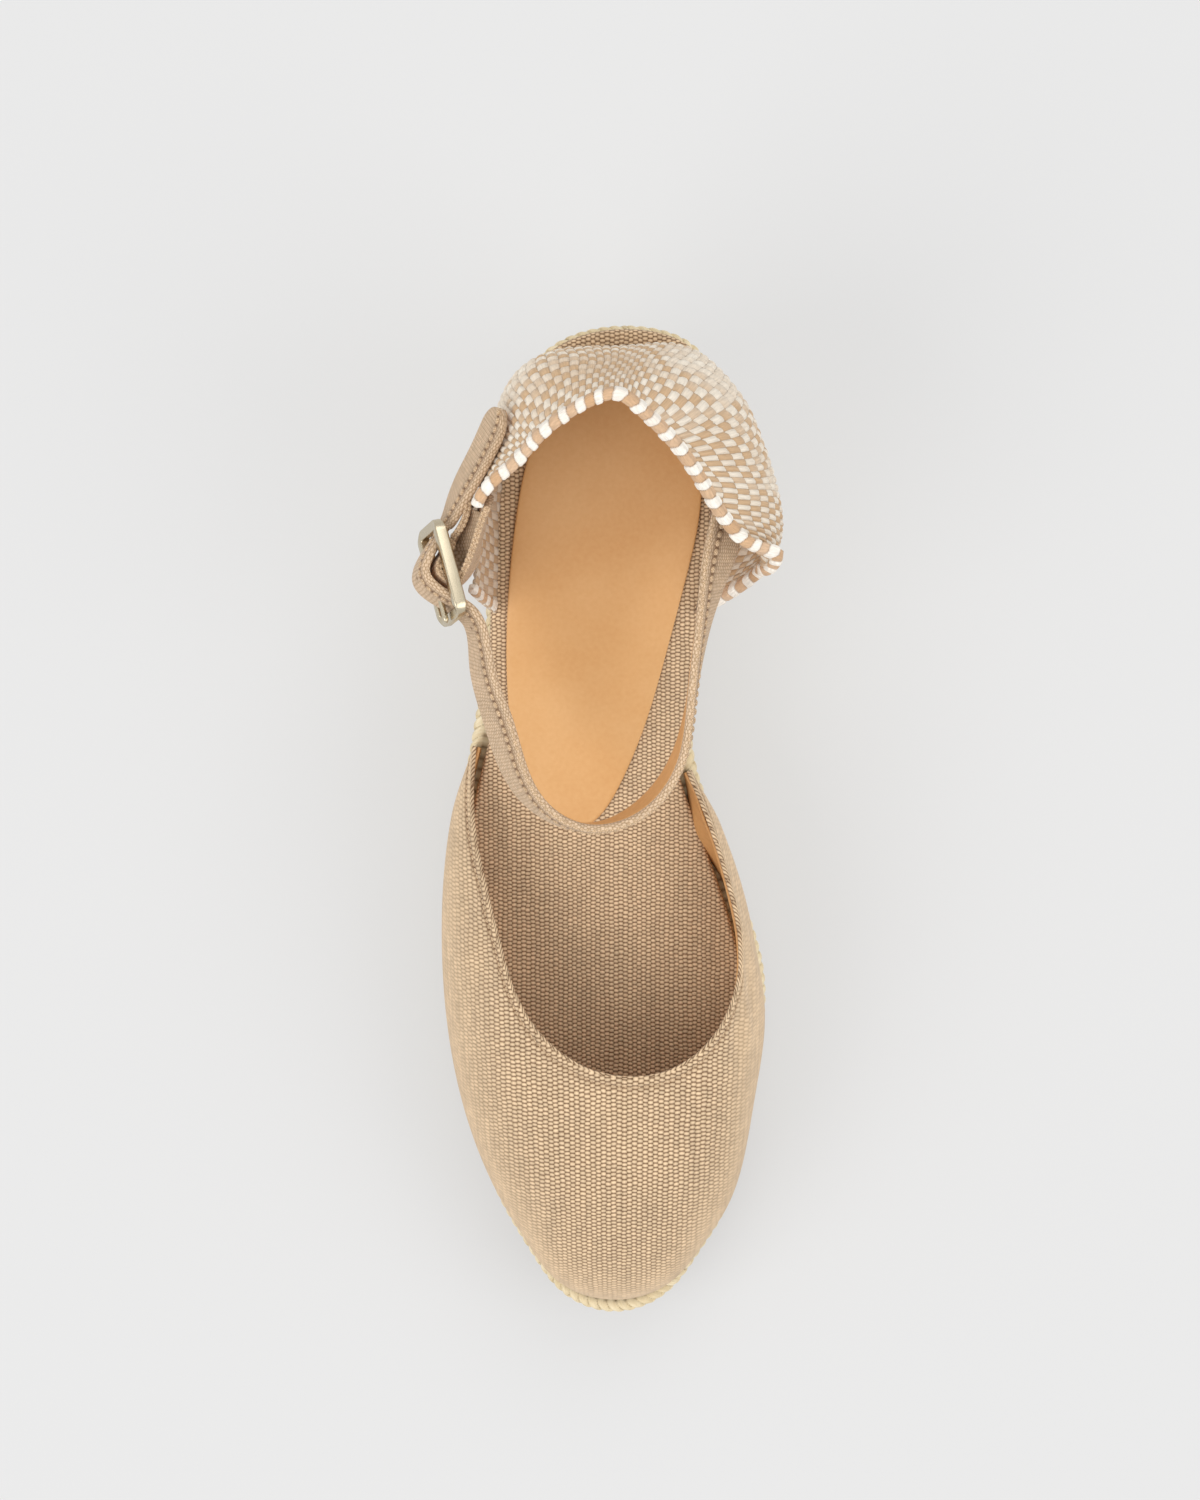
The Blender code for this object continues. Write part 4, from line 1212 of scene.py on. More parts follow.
@dataclass
class Vamp:
    """Closed canvas forepart, its folded and stitched topline, and its leather lining."""

    line: SoleLine = LINE
    instep: float = 36.0
    wall: float = 2.0
    cover: float = 1.05
    lift: float = 0.50
    crown: float = 0.50
    fall: float = 0.15
    bulge_outer: float = 3.9
    bulge_inner: float = 5.2
    bulge_toe: float = 1.2
    toe_full: tuple = (222.0, 15.0)
    bulge_in: float = 2.2
    bulge_fade: tuple = (3.0, 16.0)
    columns: int = 300
    knee: float = 5.0
    knee_rows: int = 21
    rows: int = 56
    hem: int = 11
    hem_swell: tuple = (0.16, 1.0, 0.6)
    hem_dip: tuple = (0.30, 0.5)
    crease_slant: float = 60.0
    seam: float = 2.3
    seam_wide: float = 0.7
    seam_shade: float = 0.85
    foot_shade: float = 0.7
    foot_from: tuple = (-1.1, -0.2)
    toe_middle: float = 0.52
    toe_wide: tuple = (0.10, 0.24)
    toe_seam: float = 0.25
    # Painted sheen: share of paler cloth on steep faces of the cover.
    steep_sheen: float = 0.8
    steep_sheen_from: tuple = (-0.92, -0.3)
    leaf_at: float = 0.952
    leaf_wide: float = 0.026
    leaf_size: float = 3.6
    stitch: float = 1.6
    stitch_half: tuple = (0.68, 0.48, 0.36)
    stitch_sink: float = 0.3
    stitch_ends: int = 4
    topline: tuple = (
        (101.5, -31.4, 0.04), (116.5, -31.8, 0.30), (133.0, -29.2, 0.55), (149.0, -25.2, 0.75),
        (163.8, -20.4, 0.87), (174.6, -12.6, 0.94), (181.1, -2.0, 0.99), (182.7, 6.2, 1.00),
        (181.8, 14.9, 0.99), (176.6, 24.5, 0.95), (166.2, 32.0, 0.87), (152.5, 35.0, 0.75),
        (134.0, 31.8, 0.53), (121.0, 27.7, 0.34), (107.5, 22.2, 0.04),
    )
    creases: tuple = (
        (0.17, 8.0, 0.020, 6.0, -0.7), (0.21, 14.0, 0.020, 8.0, 0.6), (0.25, 9.0, 0.022, 6.0, -0.6),
        (0.30, 16.0, 0.025, 7.0, 0.4), (0.69, 9.0, 0.018, 6.0, -0.7), (0.725, 14.0, 0.018, 7.0, 0.6),
        (0.76, 9.0, 0.020, 6.0, -0.6), (0.81, 12.0, 0.022, 6.0, 0.4), (0.50, 30.0, 0.10, 9.0, 0.5),
    )

    def __post_init__(self) -> None:
        """Works out the outer face, its normals and the distance of each point from the topline.

        Each column is a cubic curve from the feather line up to the topline. Its first control point stands
        over the feather by lift of the rise and is pushed out by the bulge; its second lies from the topline
        towards the feather, by crown in plan and by fall in height. Rows are close together above the knee.
        """
        feather, out = self.feather()
        base = place(feather[:, 0], feather[:, 1], self.line.footbed(feather[:, 0]) - BOARD)
        marks = np.array(self.topline)
        knots = run_length(marks[:, :2])
        top = spline(knots, marks, np.linspace(0, knots[-1], 600))
        top = read_along(top, np.linspace(0, run_length(top)[-1], len(base)))
        top = place(top[:, 0], top[:, 1], self.line.footbed(top[:, 0]) + self.instep * top[:, 2])
        drop = base - top
        bulge = np.where(out[:, 1] < 0, self.bulge_outer, self.bulge_inner) * (1 - out[:, 0] ** 8)
        fuller = self.bulge_toe * hill(feather[:, 0], *self.toe_full)
        fuller = fuller - self.bulge_in * hill(feather[:, 0], *BRAID_SHOWN)
        bulge = (bulge + fuller * (out[:, 1] > 0)) * ease(-drop[:, 2], *self.bulge_fade)
        first = base - drop * (0, 0, self.lift) + place_out(out) * bulge[:, None]
        second = top + drop * (self.crown, self.crown, self.fall)
        fine = bezier(base, first, second, top, np.linspace(0, 1, 260))[:, ::-1]
        length = run_length(fine, axis=1)[:, -1:]
        knee = np.minimum(self.knee, 0.5 * length)
        close, wide = np.linspace(0, 1, self.knee_rows, endpoint=False), np.linspace(0, 1, self.rows)
        self.down = np.hstack([knee * close, knee + (length - knee) * wide])
        self.grid = np.stack([read_along(column, down) for column, down in zip(fine, self.down)])
        normals = -surface_normals(self.grid)
        normals[:, -1, 2] = 0
        self.normals = unit(normals)
        self.out = place_out(out)

    def feather(self) -> tuple[Array, Array]:
        """Lower edge of the vamp and its outward normals: outer corner, toe, inner corner.

        Returns:
            (along, across) points and normals.
        """
        edge = self.line.edge(300)
        normals = self.line.normals(edge)
        loop = np.hstack([edge - normals * self.line.feather_inset(normals)[:, None], normals])[::-1]
        run = run_length(loop[:, :2])
        toe = np.argmax(loop[:, 0])
        start = np.interp(self.topline[0][0], loop[:toe, 0], run[:toe])
        end = np.interp(-self.topline[-1][0], -loop[toe:, 0], run[toe:])
        places = np.linspace(start, end, self.columns + 1)
        read = read_rows(places, run, loop)
        return read[:, :2], unit(read[:, 2:])

    def threads(self, grid: Array) -> Array:
        """Thread coordinates: each column is rolled out flat from the topline, in its own direction.

        Args:
            grid: points from the topline down.

        Returns:
            Grid of mm across and along the shoe.
        """
        step = np.diff(grid, axis=1)
        flat = step[..., :2] + 0.02 * self.out[:, None, :2]
        rolled = unit(flat) * np.linalg.norm(step, axis=-1, keepdims=True)
        return np.concatenate([grid[:, :1, :2], grid[:, :1, :2] + np.cumsum(rolled, axis=1)], axis=1)

    def shaped(self) -> Array:
        """Outer face with the hem along the topline and the listed creases.

        The hem swells 0.16 mm and dips 0.3 mm where it is sewn; a crease is a product of two bell curves.

        Returns:
            Grid of points.
        """
        around = np.linspace(0, 1, self.columns + 1)[:, None]
        swell, dip = self.hem_swell, self.hem_dip
        hem = swell[0] * hill(self.down, *swell[1:]) - dip[0] * hill(self.down, self.seam, dip[1])
        for where, down, wide, deep, size in self.creases:
            slanted = self.down + self.crease_slant * (around - where)
            hem = hem + size * hill(around, where, wide) * hill(slanted, down, deep)
        return self.grid + self.normals * hem[..., None]

    def sheet(self, outer: Array, inner: Array, shade: Array | None = None) -> list[Patch]:
        """Closed sheet between two faces, with a half-round edge along the topline.

        The edge's points are middle + half cos(angle) + upward sin(angle), half being the way from the middle
        of the two faces to the outer one.

        Args:
            outer: grid from the topline down.
            inner: the same grid on the inner side.
            shade: share of the seam's shade on the outer face, or None.

        Returns:
            Patches of the sheet and its two ends.
        """
        cloth = self.threads(outer)
        shade = np.zeros(outer.shape[:2]) if shade is None else shade
        middle = (outer[:, :1] + inner[:, :1]) / 2
        half = (outer[:, :1] - inner[:, :1]) / 2
        upward = unit(outer[:, :1] - outer[:, 1:2]) * np.linalg.norm(half, axis=-1, keepdims=True)
        angle = np.linspace(0, math.pi, 8)[1:-1][None, :, None]
        fold = middle + half * np.cos(angle) + upward * np.sin(angle)
        loop = np.concatenate([outer[:, ::-1], fold, inner], axis=1)
        threads = np.concatenate([cloth[:, ::-1], np.repeat(cloth[:, :1], fold.shape[1], 1), cloth], axis=1)
        rows = outer.shape[1]
        turn = run_length(loop, axis=1)
        threads[:, rows - 1 :, 1] -= (turn - turn[:, rows - 1 : rows])[:, rows - 1 :]
        dark = np.zeros(loop.shape[:2])
        dark[:, :rows] = shade[:, ::-1]
        # Painted sheen: paler cloth on steep faces of the outer face.
        steep = np.zeros(loop.shape[:2])
        steep[:, :rows] = self.steep_sheen * ease(-self.normals[:, -rows:, 2], *self.steep_sheen_from)[:, ::-1]
        marks = {Mark.PAINTED_SHADE: looped(dark, 1), Mark.PALE: looped(steep, 1)}
        ends = [
            Patch(np.stack([loop[k, part], loop[k, ::-1][part]], 1))
            for part in (slice(rows), slice(rows - 1, rows + 3))
            for k in (0, -1)
        ]
        return [Patch(looped(loop, 1), looped(threads, 1), marks), *ends]

    def build_lining(self) -> None:
        """Leather lining inside the wall, standing off it as a leaf at the inner rear corner.

        The leaf leans in by leaf_size exp(-((around - leaf_at) / leaf_wide)^2) at the foot of the wall.
        """
        around = np.linspace(0, 1, self.columns + 1)[:, None]
        down = self.down[:, self.hem :] - self.down[:, self.hem : self.hem + 1]
        leaf = self.leaf_size * hill(around, self.leaf_at, self.leaf_wide)
        leaf = leaf * ease(down / down[:, -1:], -0.2, 0.75)
        face = self.grid[:, self.hem :] - self.normals[:, self.hem :] * (self.cover + 0.05)
        face = face - self.out[:, None] * leaf[..., None]
        back = face - self.normals[:, self.hem :] * (self.wall - self.cover - 0.15)
        add_piece("vamp_lining", self.sheet(face, back), LINING_LEATHER)

    def build(self) -> None:
        """Canvas cover with its seam, beads of thread along it, and lining.

        The seam's shade is a bell curve down from the topline, and weaker round the middle of the toe.
        """
        outer = self.shaped()
        around = np.linspace(0, 1, self.columns + 1)
        sides = ease(np.abs(around - self.toe_middle), *self.toe_wide)
        sewn = self.toe_seam + (1 - self.toe_seam) * sides[:, None]
        shade = self.seam_shade * hill(self.down, self.seam, self.seam_wide) * sewn
        # Painted shade at the foot of the wall, where it meets the jute.
        shade = shade + self.foot_shade * ease(self.down - self.down[:, -1:], *self.foot_from)
        cover = self.sheet(outer, outer - self.normals * self.cover, shade)
        add_piece("vamp_canvas", cover, CANVAS, ["vamp"])
        self.build_lining()
        row = np.stack([read_along(column, np.array([self.seam]))[0] for column in outer])
        normal = self.normals[:, self.hem]
        row = row - normal * (self.stitch_sink * (1 - sides))[:, None]
        sewn = slice(self.stitch_ends, -self.stitch_ends)
        beads = stitch_row(row[sewn], normal[sewn], self.stitch, self.stitch_half)
        add_piece("vamp_stitches", beads, STITCH_CANVAS)


@dataclass
class HeelCounter:
    """Slack heel counter of basket weave, with its whipped edge."""

    line: SoleLine = LINE
    height: float = 50.0
    wall: float = 2.6
    wing_wall: float = 1.3
    wing_blend: tuple = (0.2, 0.3)
    weave_top: float = 0.955
    wing_drop: float = 0.345
    rim: float = 3.0
    rim_power: float = 0.55
    rim_level: float = 0.965
    rim_foot: float = 0.02
    front_in: float = 0.008
    front_top: float = 0.66
    front_cord: tuple = (0.8, 40.0)
    over_cord: tuple = (1.0, 26.0)
    path_spans: tuple = (170.0, 45.0)
    path_step: float = 0.25
    path_window: int = 25
    path_grid: int = 240
    seat_along: float = 69.0
    cells_round: int = 82
    cells_up: int = 17
    relief: float = 0.85
    sink: float = 0.4
    inner_relief: float = 0.51
    inner_tint: float = 0.3
    inner_shade: float = 0.22
    columns: int = 480
    rows: int = 102
    block: float = 2.5
    slant: float = 0.16
    bare_to: float = 0.147
    walls: tuple = (
        (0.00, 1.4, 62.8, -32.6, 0.63, 1.0, 1.2), (0.08, 1.5, 53.2, -30.6, 0.69, 2.0, 1.4),
        (0.17, 1.7, 43.4, -29.0, 0.76, 4.5, 1.8), (0.27, 2.2, 35.0, -21.0, 0.82, 12.0, 1.5),
        (0.37, 3.4, 27.5, -13.5, 0.90, 15.5, 3.0), (0.50, 5.0, 18.6, 2.3, 1.00, 5.0, 1.0),
        (0.61, 3.6, 24.0, 10.0, 0.96, 13.5, 9.5), (0.71, 2.2, 31.5, 16.5, 0.90, 18.0, 18.5),
        (0.81, 1.4, 40.5, 22.5, 0.83, 20.0, 25.0), (0.90, 1.1, 48.5, 28.9, 0.77, 18.0, 22.0),
        (0.96, 1.0, 52.6, 36.4, 0.69, 11.0, 12.0), (1.00, 1.0, 54.6, 43.9, 0.62, 4.0, 3.0),
    )
    tan_zones: tuple = ((0.47, 0.12, 0.60, 0.24),)
    # The narrow spot at 0.80, a pale stripe on the inner wing's fold ridge, is a painted highlight; the
    # others are patches of cream yarn.
    pale_zones: tuple = ((0.31, 0.07, 0.38, 0.25), (0.64, 0.06, 0.45, 0.22), (0.80, 0.03, 0.5, 0.2))
    creases: tuple = (
        (0.30, 0.42, 0.05, 0.16, -1.0), (0.42, 0.55, 0.04, 0.20, 0.7), (0.60, 0.50, 0.045, 0.2, -0.9),
        (0.70, 0.45, 0.04, 0.22, 0.8), (0.84, 0.40, 0.05, 0.15, -0.9), (0.15, 0.5, 0.04, 0.2, -0.6),
    )

    def seat(self, around: Array, seat_in: Array) -> tuple[Array, Array]:
        """Foot of the wall and its outward directions, outer front to inner front.

        Args:
            around: share of the way round the heel.
            seat_in: mm in from the sole's edge.

        Returns:
            Points and directions.
        """
        edge = self.line.edge(300)
        both = np.hstack([edge, self.line.normals(edge)])
        loop = np.roll(both, len(both) // 2, axis=0)
        run = run_length(loop[:, :2])
        back = np.argmin(loop[:, 0])
        outer = np.interp(-self.seat_along, -loop[:back, 0], run[:back])
        inner = np.interp(self.seat_along, loop[back:, 0], run[back:])
        places = outer + (inner - outer) * around
        read = read_rows(places, run, loop)
        out = unit(read[:, 2:])
        foot = read[:, :2] - out * seat_in[:, None]
        return place(foot[:, 0], foot[:, 1], self.line.footbed(foot[:, 0]) + GAP), place_out(out)

    def face(self, around: Array, levels: Array) -> Array:
        """Outer face: slack cubic curves from the seat to the top edge.

        Their control points stand at a third and two thirds of the rise, each pushed out by its own column of
        the table of walls.

        Args:
            around: shares of the way round.
            levels: shares of the way up, the same all round or a line for each place.

        Returns:
            Grid of points.
        """
        table = np.array(self.walls)
        walls = spline(table[:, 0], table[:, 1:], around)
        seat, out = self.seat(around, walls[:, 0])
        top = place(walls[:, 1], walls[:, 2], self.line.heel_height + self.height * walls[:, 3])
        rise = top - seat
        first = seat + rise / 3 + out * walls[:, 4:5]
        second = seat + rise * 2 / 3 + out * walls[:, 5:6]
        return bezier(seat, first, second, top, levels)

    @staticmethod
    def normals(grid: Array) -> Array:
        """Outward normals of the face, level at its foot.

        Args:
            grid: points round and up the face.

        Returns:
            Grid of normals.
        """
        normals = -surface_normals(grid)
        normals[:, 0, 2] = 0
        return unit(normals)

    def thickness(self, around: Array) -> Array:
        """Thickness of the wall, thin where the buckle's tab holds it."""
        return self.wing_wall + (self.wall - self.wing_wall) * ease(around, *self.wing_blend)

    def weave(self, around: Array, level: Array) -> tuple[Array, Array]:
        """Plain weave of flat yarns: warp on top where cell numbers add up to even, weft elsewhere.

        A yarn's height is (1 - |a|^3)^(1/2) across it and 1 - 0.55 b^2 along it, from its cell's middle. Two
        slow waves and two quick ones bend the rows, by 0.45 and 0.12 of a cell.

        Args:
            around: share of the way round, as a grid.
            level: share of the way up, as a grid.

        Returns:
            Height from 0 to 1, and thread coordinates in cells.
        """
        u, w = around * self.cells_round, level * self.cells_up
        u, w = (
            u + 0.45 * np.sin(0.35 * w + 0.21 * u) + 0.12 * np.sin(0.9 * w - 0.4 * u),
            w + 0.45 * np.sin(0.27 * u - 0.2 * w) + 0.12 * np.sin(0.8 * u + 0.3 * w),
        )
        column, row = np.floor(u), np.floor(w)
        a, b = 2 * (u - column) - 1, 2 * (w - row) - 1
        warp = (column + row) % 2 == 0
        across, along = np.where(warp, a, b), np.where(warp, b, a)
        height = np.sqrt(np.clip(1 - np.abs(across) ** 3, 0, 1)) * (1 - 0.55 * along**2)
        return height, np.stack([u, w], -1)

    @staticmethod
    def patch_of(zones: Sequence, around: Array, level: Array) -> Array:
        """Strongest of a few soft spots: products of two bell curves round and up the wall."""
        return np.max([hill(around, *spot[:2]) * hill(level, *spot[2:]) for spot in zones], axis=0)

    def build_weave(self) -> None:
        """Woven wall, both faces displaced by the yarns, with the listed creases.

        The outer face moves out by slack - sink + relief (height - 0.5). The inner face stands in from it by
        the wall's thickness and has a weave of its own; slack is the sum of the creases' bell curves.
        """
        around = np.linspace(0, 1, self.columns)
        levels = np.linspace(0, 1, self.rows)
        top = self.weave_top - self.wing_drop * ease(-around, -self.bare_to - 0.007, 0.013 - self.bare_to)
        u, w = np.broadcast_arrays(around[:, None], top[:, None] * levels)
        grid = self.face(around, w)
        normals = self.normals(grid)
        slack = sum(
            size * hill(u, where, wide) * hill(w, up, tall) for where, up, wide, tall, size in self.creases
        )
        height, cloth = self.weave(u, w)
        longer = 1 - 0.5 * ease(-u, -0.24, -0.16)
        inner_height, inner_cloth = self.weave(u + 1 / self.cells_round, w * longer)
        outer = grid + normals * (slack - self.sink + self.relief * (height - 0.5))[..., None]
        depth = self.thickness(u) - self.sink + self.inner_relief * (inner_height - 0.5)
        inner = grid + normals * (slack - depth)[..., None]
        loop = np.concatenate([outer, inner[:, ::-1]], axis=1)
        threads = np.concatenate([cloth, inner_cloth[:, ::-1]], axis=1)
        tan, pale = (self.patch_of(zones, u, w) for zones in (self.tan_zones, self.pale_zones))
        both = {
            Mark.TINT: (tan, self.inner_tint + 0 * w),
            Mark.PALE: (pale, 0 * w),
            # Painted shade: a little darker towards the inner side outside, and darker all over the inner
            # face.
            Mark.PAINTED_SHADE: (0.1 * ease(u, 0.55, 0.7), self.inner_shade + 0 * w),
        }
        marks = {
            mark: looped(np.hstack([outside, inside[:, ::-1]]), 1) for mark, (outside, inside) in both.items()
        }
        ends = [Patch(np.stack([outer[k], inner[k]], 1)) for k in (0, -1)]
        patches = [Patch(looped(loop, 1), looped(threads, 1), marks), *ends]
        add_piece("counter_weave", patches, WEAVE, ["counter"])

    def edge_path(self, corners: Sequence) -> tuple[Array, Array]:
        """Line in the middle of the wall through corners, with the corners rounded off.

        Straight lines join the corners in shares of the wall. A bell-shaped running mean rounds them off, and
        points are read from a grid, each by the weights of its four nearest.

        Args:
            corners: (share of the way round, share of the way up).

        Returns:
            Points and outward normals.
        """
        corners = np.array(corners, float)
        knots = np.concatenate([[0], np.cumsum(np.abs(np.diff(corners, axis=0)) @ self.path_spans)])
        places = np.arange(0, knots[-1], self.path_step)
        bell = np.hanning(self.path_window)
        lines = (np.interp(places, knots, column) for column in corners.T)
        around, level = (
            np.convolve(np.pad(line, self.path_window // 2, mode="edge"), bell / bell.sum(), mode="valid")
            for line in lines
        )
        last = self.path_grid - 1
        fine = np.linspace(0, 1, self.path_grid)
        grid = self.face(fine, fine)
        normals = self.normals(grid)
        middle = grid - normals * (self.thickness(fine) / 2)[:, None, None]
        i, j = around * last, level * last
        low_i, low_j = (np.clip(at.astype(int), 0, last - 1) for at in (i, j))
        fi, fj = (i - low_i)[:, None], (j - low_j)[:, None]
        return tuple(
            values[low_i, low_j] * (1 - fi) * (1 - fj)
            + values[low_i + 1, low_j] * fi * (1 - fj)
            + values[low_i, low_j + 1] * (1 - fi) * fj
            + values[low_i + 1, low_j + 1] * fi * fj
            for values in (middle, normals)
        )

    def cord(self, path: Array, normals: Array, thin: float, front: float) -> list[Patch]:
        """Whipped cord of slanted flat blocks, white and tan in turn.

        Block number and place in it come from t = run / block - slant cos(angle), with run made a little
        uneven. The cord's size is 0.72 + 0.34 (1 - (2 f - 1)^6) g of its section, with f the fraction of t
        and g the fullness of the block: tan blocks lie lower.

        Args:
            path: points in the middle of the wall.
            normals: the wall's outward normals there.
            thin: factor of the cord's section.
            front: mm of its end that runs down a front edge, with longer blocks.

        Returns:
            Patches of the cord and its ends.
        """
        run = run_length(path)
        places = np.linspace(0, run[-1], int(run[-1] / self.block * 14))
        centre = read_along(path, places)
        out = unit(read_rows(places, run, normals))
        along = unit(np.gradient(centre, axis=0))
        beside = unit(np.cross(along, out))
        out = np.cross(beside, along)
        angle = circle(28)
        uneven = places + 0.35 * np.sin(places / 3.1) + 0.25 * np.sin(places / 1.7)
        uneven = uneven - 0.42 * np.maximum(places - run[-1] + front, 0)
        t = uneven[:, None] / self.block - self.slant * np.cos(angle)
        number = np.floor(t)
        f = t - number
        full = np.where(number % 2 == 0, 1.0, 0.72) * (0.85 + 0.3 * chance(number))
        bulge = 0.72 + 0.34 * (1 - (2 * f - 1) ** 6) * full
        ends = np.minimum(ease(places, -0.2, 1.0), ease(run[-1] - places, -0.2, 1.0))[:, None]
        wide, tall = (squared(wave(angle), self.rim_power) * self.rim / 2 for wave in (np.cos, np.sin))
        size = (bulge * ends * thin)[..., None]
        grid = centre[:, None] + (out[:, None] * wide[:, None] + beside[:, None] * tall[:, None]) * size
        white = np.where(number % 2 == 0, 1.0, 0.12) + 0.16 * (chance(number, number) - 0.5)
        cloth = np.stack([angle * 2.0 + 0 * t, t * self.block], -1)
        # Painted shade at both ends of each block, where the blocks meet.
        hollow_shade = 0.6 * ease(np.abs(2 * f - 1), 0.86, 1.0)
        return tube(grid, cloth, {Mark.TINT: np.clip(white, 0, 1), Mark.PAINTED_SHADE: hollow_shade})

    def build_rope(self) -> None:
        """Whipped edges: the outer front, and the top from the buckle's tab over and down the inner front."""
        level, foot, end = self.rim_level, self.rim_foot, 1 - self.front_in
        outer = self.edge_path([(self.front_in, self.front_top), (self.front_in, foot)])
        over = self.edge_path([(self.bare_to, level), (end, level), (end, foot)])
        patches = self.cord(*outer, *self.front_cord) + self.cord(*over, *self.over_cord)
        add_piece("counter_rope", patches, YARN)

    def spot(self, around: float, level: float, out: float) -> tuple[Array, Array]:
        """Point at a distance out from the outer face, and the way up the wall there.

        Args:
            around: share of the way round.
            level: share of the way up.
            out: mm outwards.

        Returns:
            Point and direction.
        """
        steps = np.array([-0.02, 0, 0.02])
        grid = self.face(around + steps, level + steps)
        normal = -surface_normals(grid)[1, 1]
        return grid[1, 1] + normal * out, unit(grid[1, 2] - grid[1, 0])

    def build(self) -> None:
        """Woven wall and whipped edge."""
        self.build_weave()
        self.build_rope()


@dataclass
class Buckle:
    """Pale gold buckle: bevelled frame, centre bar and prong."""

    at: tuple = (60.4, -37.6, 100.5)
    turn: float = 14.7
    tilt: float = 17.4
    pitch: float = -6.3
    length: float = 24.0
    height: float = 18.0
    bar: float = 2.4
    thick: float = 2.0
    corner: float = 2.0
    square: float = 7.0
    long_bar: float = 0.55
    centre_radius: float = 0.9
    prong_radius: float = 0.7
    hook_turn: tuple = (-110.0, 90.0)
    tip_blunt: float = 0.05
    tip_length: float = 0.8

    def axes(self) -> tuple[Array, Array, Array]:
        """Directions of the buckle, from its turn, pitch and tilt.

        Returns:
            Directions towards the heel along the strap, up its width, and outwards.
        """
        turn, tilt, pitch = np.radians([self.turn, self.tilt, self.pitch])
        heelward = np.array([-np.sin(turn) * np.cos(pitch), np.cos(turn) * np.cos(pitch), np.sin(pitch)])
        outward = np.array([-np.cos(turn) * np.cos(tilt), -np.sin(turn) * np.cos(tilt), np.sin(tilt)])
        outward = unit(outward - heelward * (outward @ heelward))
        return heelward, np.cross(heelward, outward), outward

    def points(self, along: Array, up: Array, out: Array) -> Array:
        """Points in the buckle's own directions from its centre bar."""
        local = np.stack(np.broadcast_arrays(along, up, out), -1).astype(float)
        return place(*self.at) + local @ np.stack(self.axes())

    def build_frame(self) -> None:
        """Frame of a flat bar with bevelled edges, bent to a rectangle with round corners.

        The section is a superellipse |r|^7 + |n|^7 = 1 with the bar's half sizes, deeper on the long sides.
        """
        half = np.array([self.length - self.bar, self.height - self.bar]) / 2
        quarter = np.arange(4)
        signs = np.stack([np.array([1, 1, -1, -1]), np.array([-1, 1, 1, -1])], 1)
        arc = np.radians(90 * (quarter[:, None] - 1 + np.linspace(0, 1, 10)))
        centre = (signs * (half - self.corner))[:, None]
        facing = np.stack([np.cos(arc), np.sin(arc)], -1)
        path = (centre + self.corner * facing).reshape(-1, 2)
        facing = facing.reshape(-1, 2)
        angle = circle(32)
        side = squared(np.cos(angle), 2 / self.square) * self.bar / 2
        out = squared(np.sin(angle), 2 / self.square) * self.thick / 2
        plane = path[:, None] + facing[:, None] * side[:, None]
        deeper = 1 + self.long_bar * facing[:, 1:] ** 4
        grid = self.points(plane[..., 0], plane[..., 1], out * deeper)
        self.finish("buckle_frame_gold", [Patch(looped(looped(grid), 1))], ["buckle_frame"])

    def build_bar(self) -> None:
        """Round bar between the middles of the frame's long sides: a circle carried along a line."""
        reach = (self.height - self.bar) / 2
        angle = circle(20)
        up = np.linspace(-reach, reach, 12)[:, None]
        grid = self.points(self.centre_radius * np.cos(angle), up, self.centre_radius * np.sin(angle))
        self.finish("buckle_bar_gold", tube(grid))

    def build_prong(self) -> None:
        """Prong hooked round the bar, lying on the frame's front bar with a rounded tip.

        Its line is an arc round the bar and then straight, and its radius falls off as the square root of the
        distance from the tip.
        """
        hook = self.centre_radius + GAP + self.prong_radius
        bend = np.radians(np.linspace(*self.hook_turn, 22))
        rest = self.thick / 2 + GAP + self.prong_radius
        share = np.linspace(0, 1, 30)[1:]
        along = np.concatenate([hook * np.cos(bend), -self.length / 2 * share])
        out = np.concatenate([hook * np.sin(bend), hook + (rest - hook) * share])
        path = np.stack([along, out], 1)
        run = unit(np.gradient(path, axis=0))
        angle = circle(16)
        where = run_length(path)
        left = (where[-1] - where + self.tip_blunt) / self.tip_length
        radius = self.prong_radius * np.sqrt(np.clip(left, self.tip_blunt, 1))[:, None]
        beside = np.stack([-run[:, 1], run[:, 0]], 1)
        plane = path[:, None] + beside[:, None] * (radius * np.cos(angle))[..., None]
        grid = self.points(plane[..., 0], radius * np.sin(angle), plane[..., 1])
        self.finish("buckle_prong_gold", tube(grid), ["buckle_prong"])

    @staticmethod
    def finish(name: str, patches: Sequence[Patch], nodes: Sequence[str] = ()) -> None:
        """Piece in pale gold with crisp edges."""
        add_piece(name, patches, GOLD, nodes, corner=50)

    def build(self) -> None:
        """Frame, bar and prong."""
        self.build_frame()
        self.build_bar()
        self.build_prong()


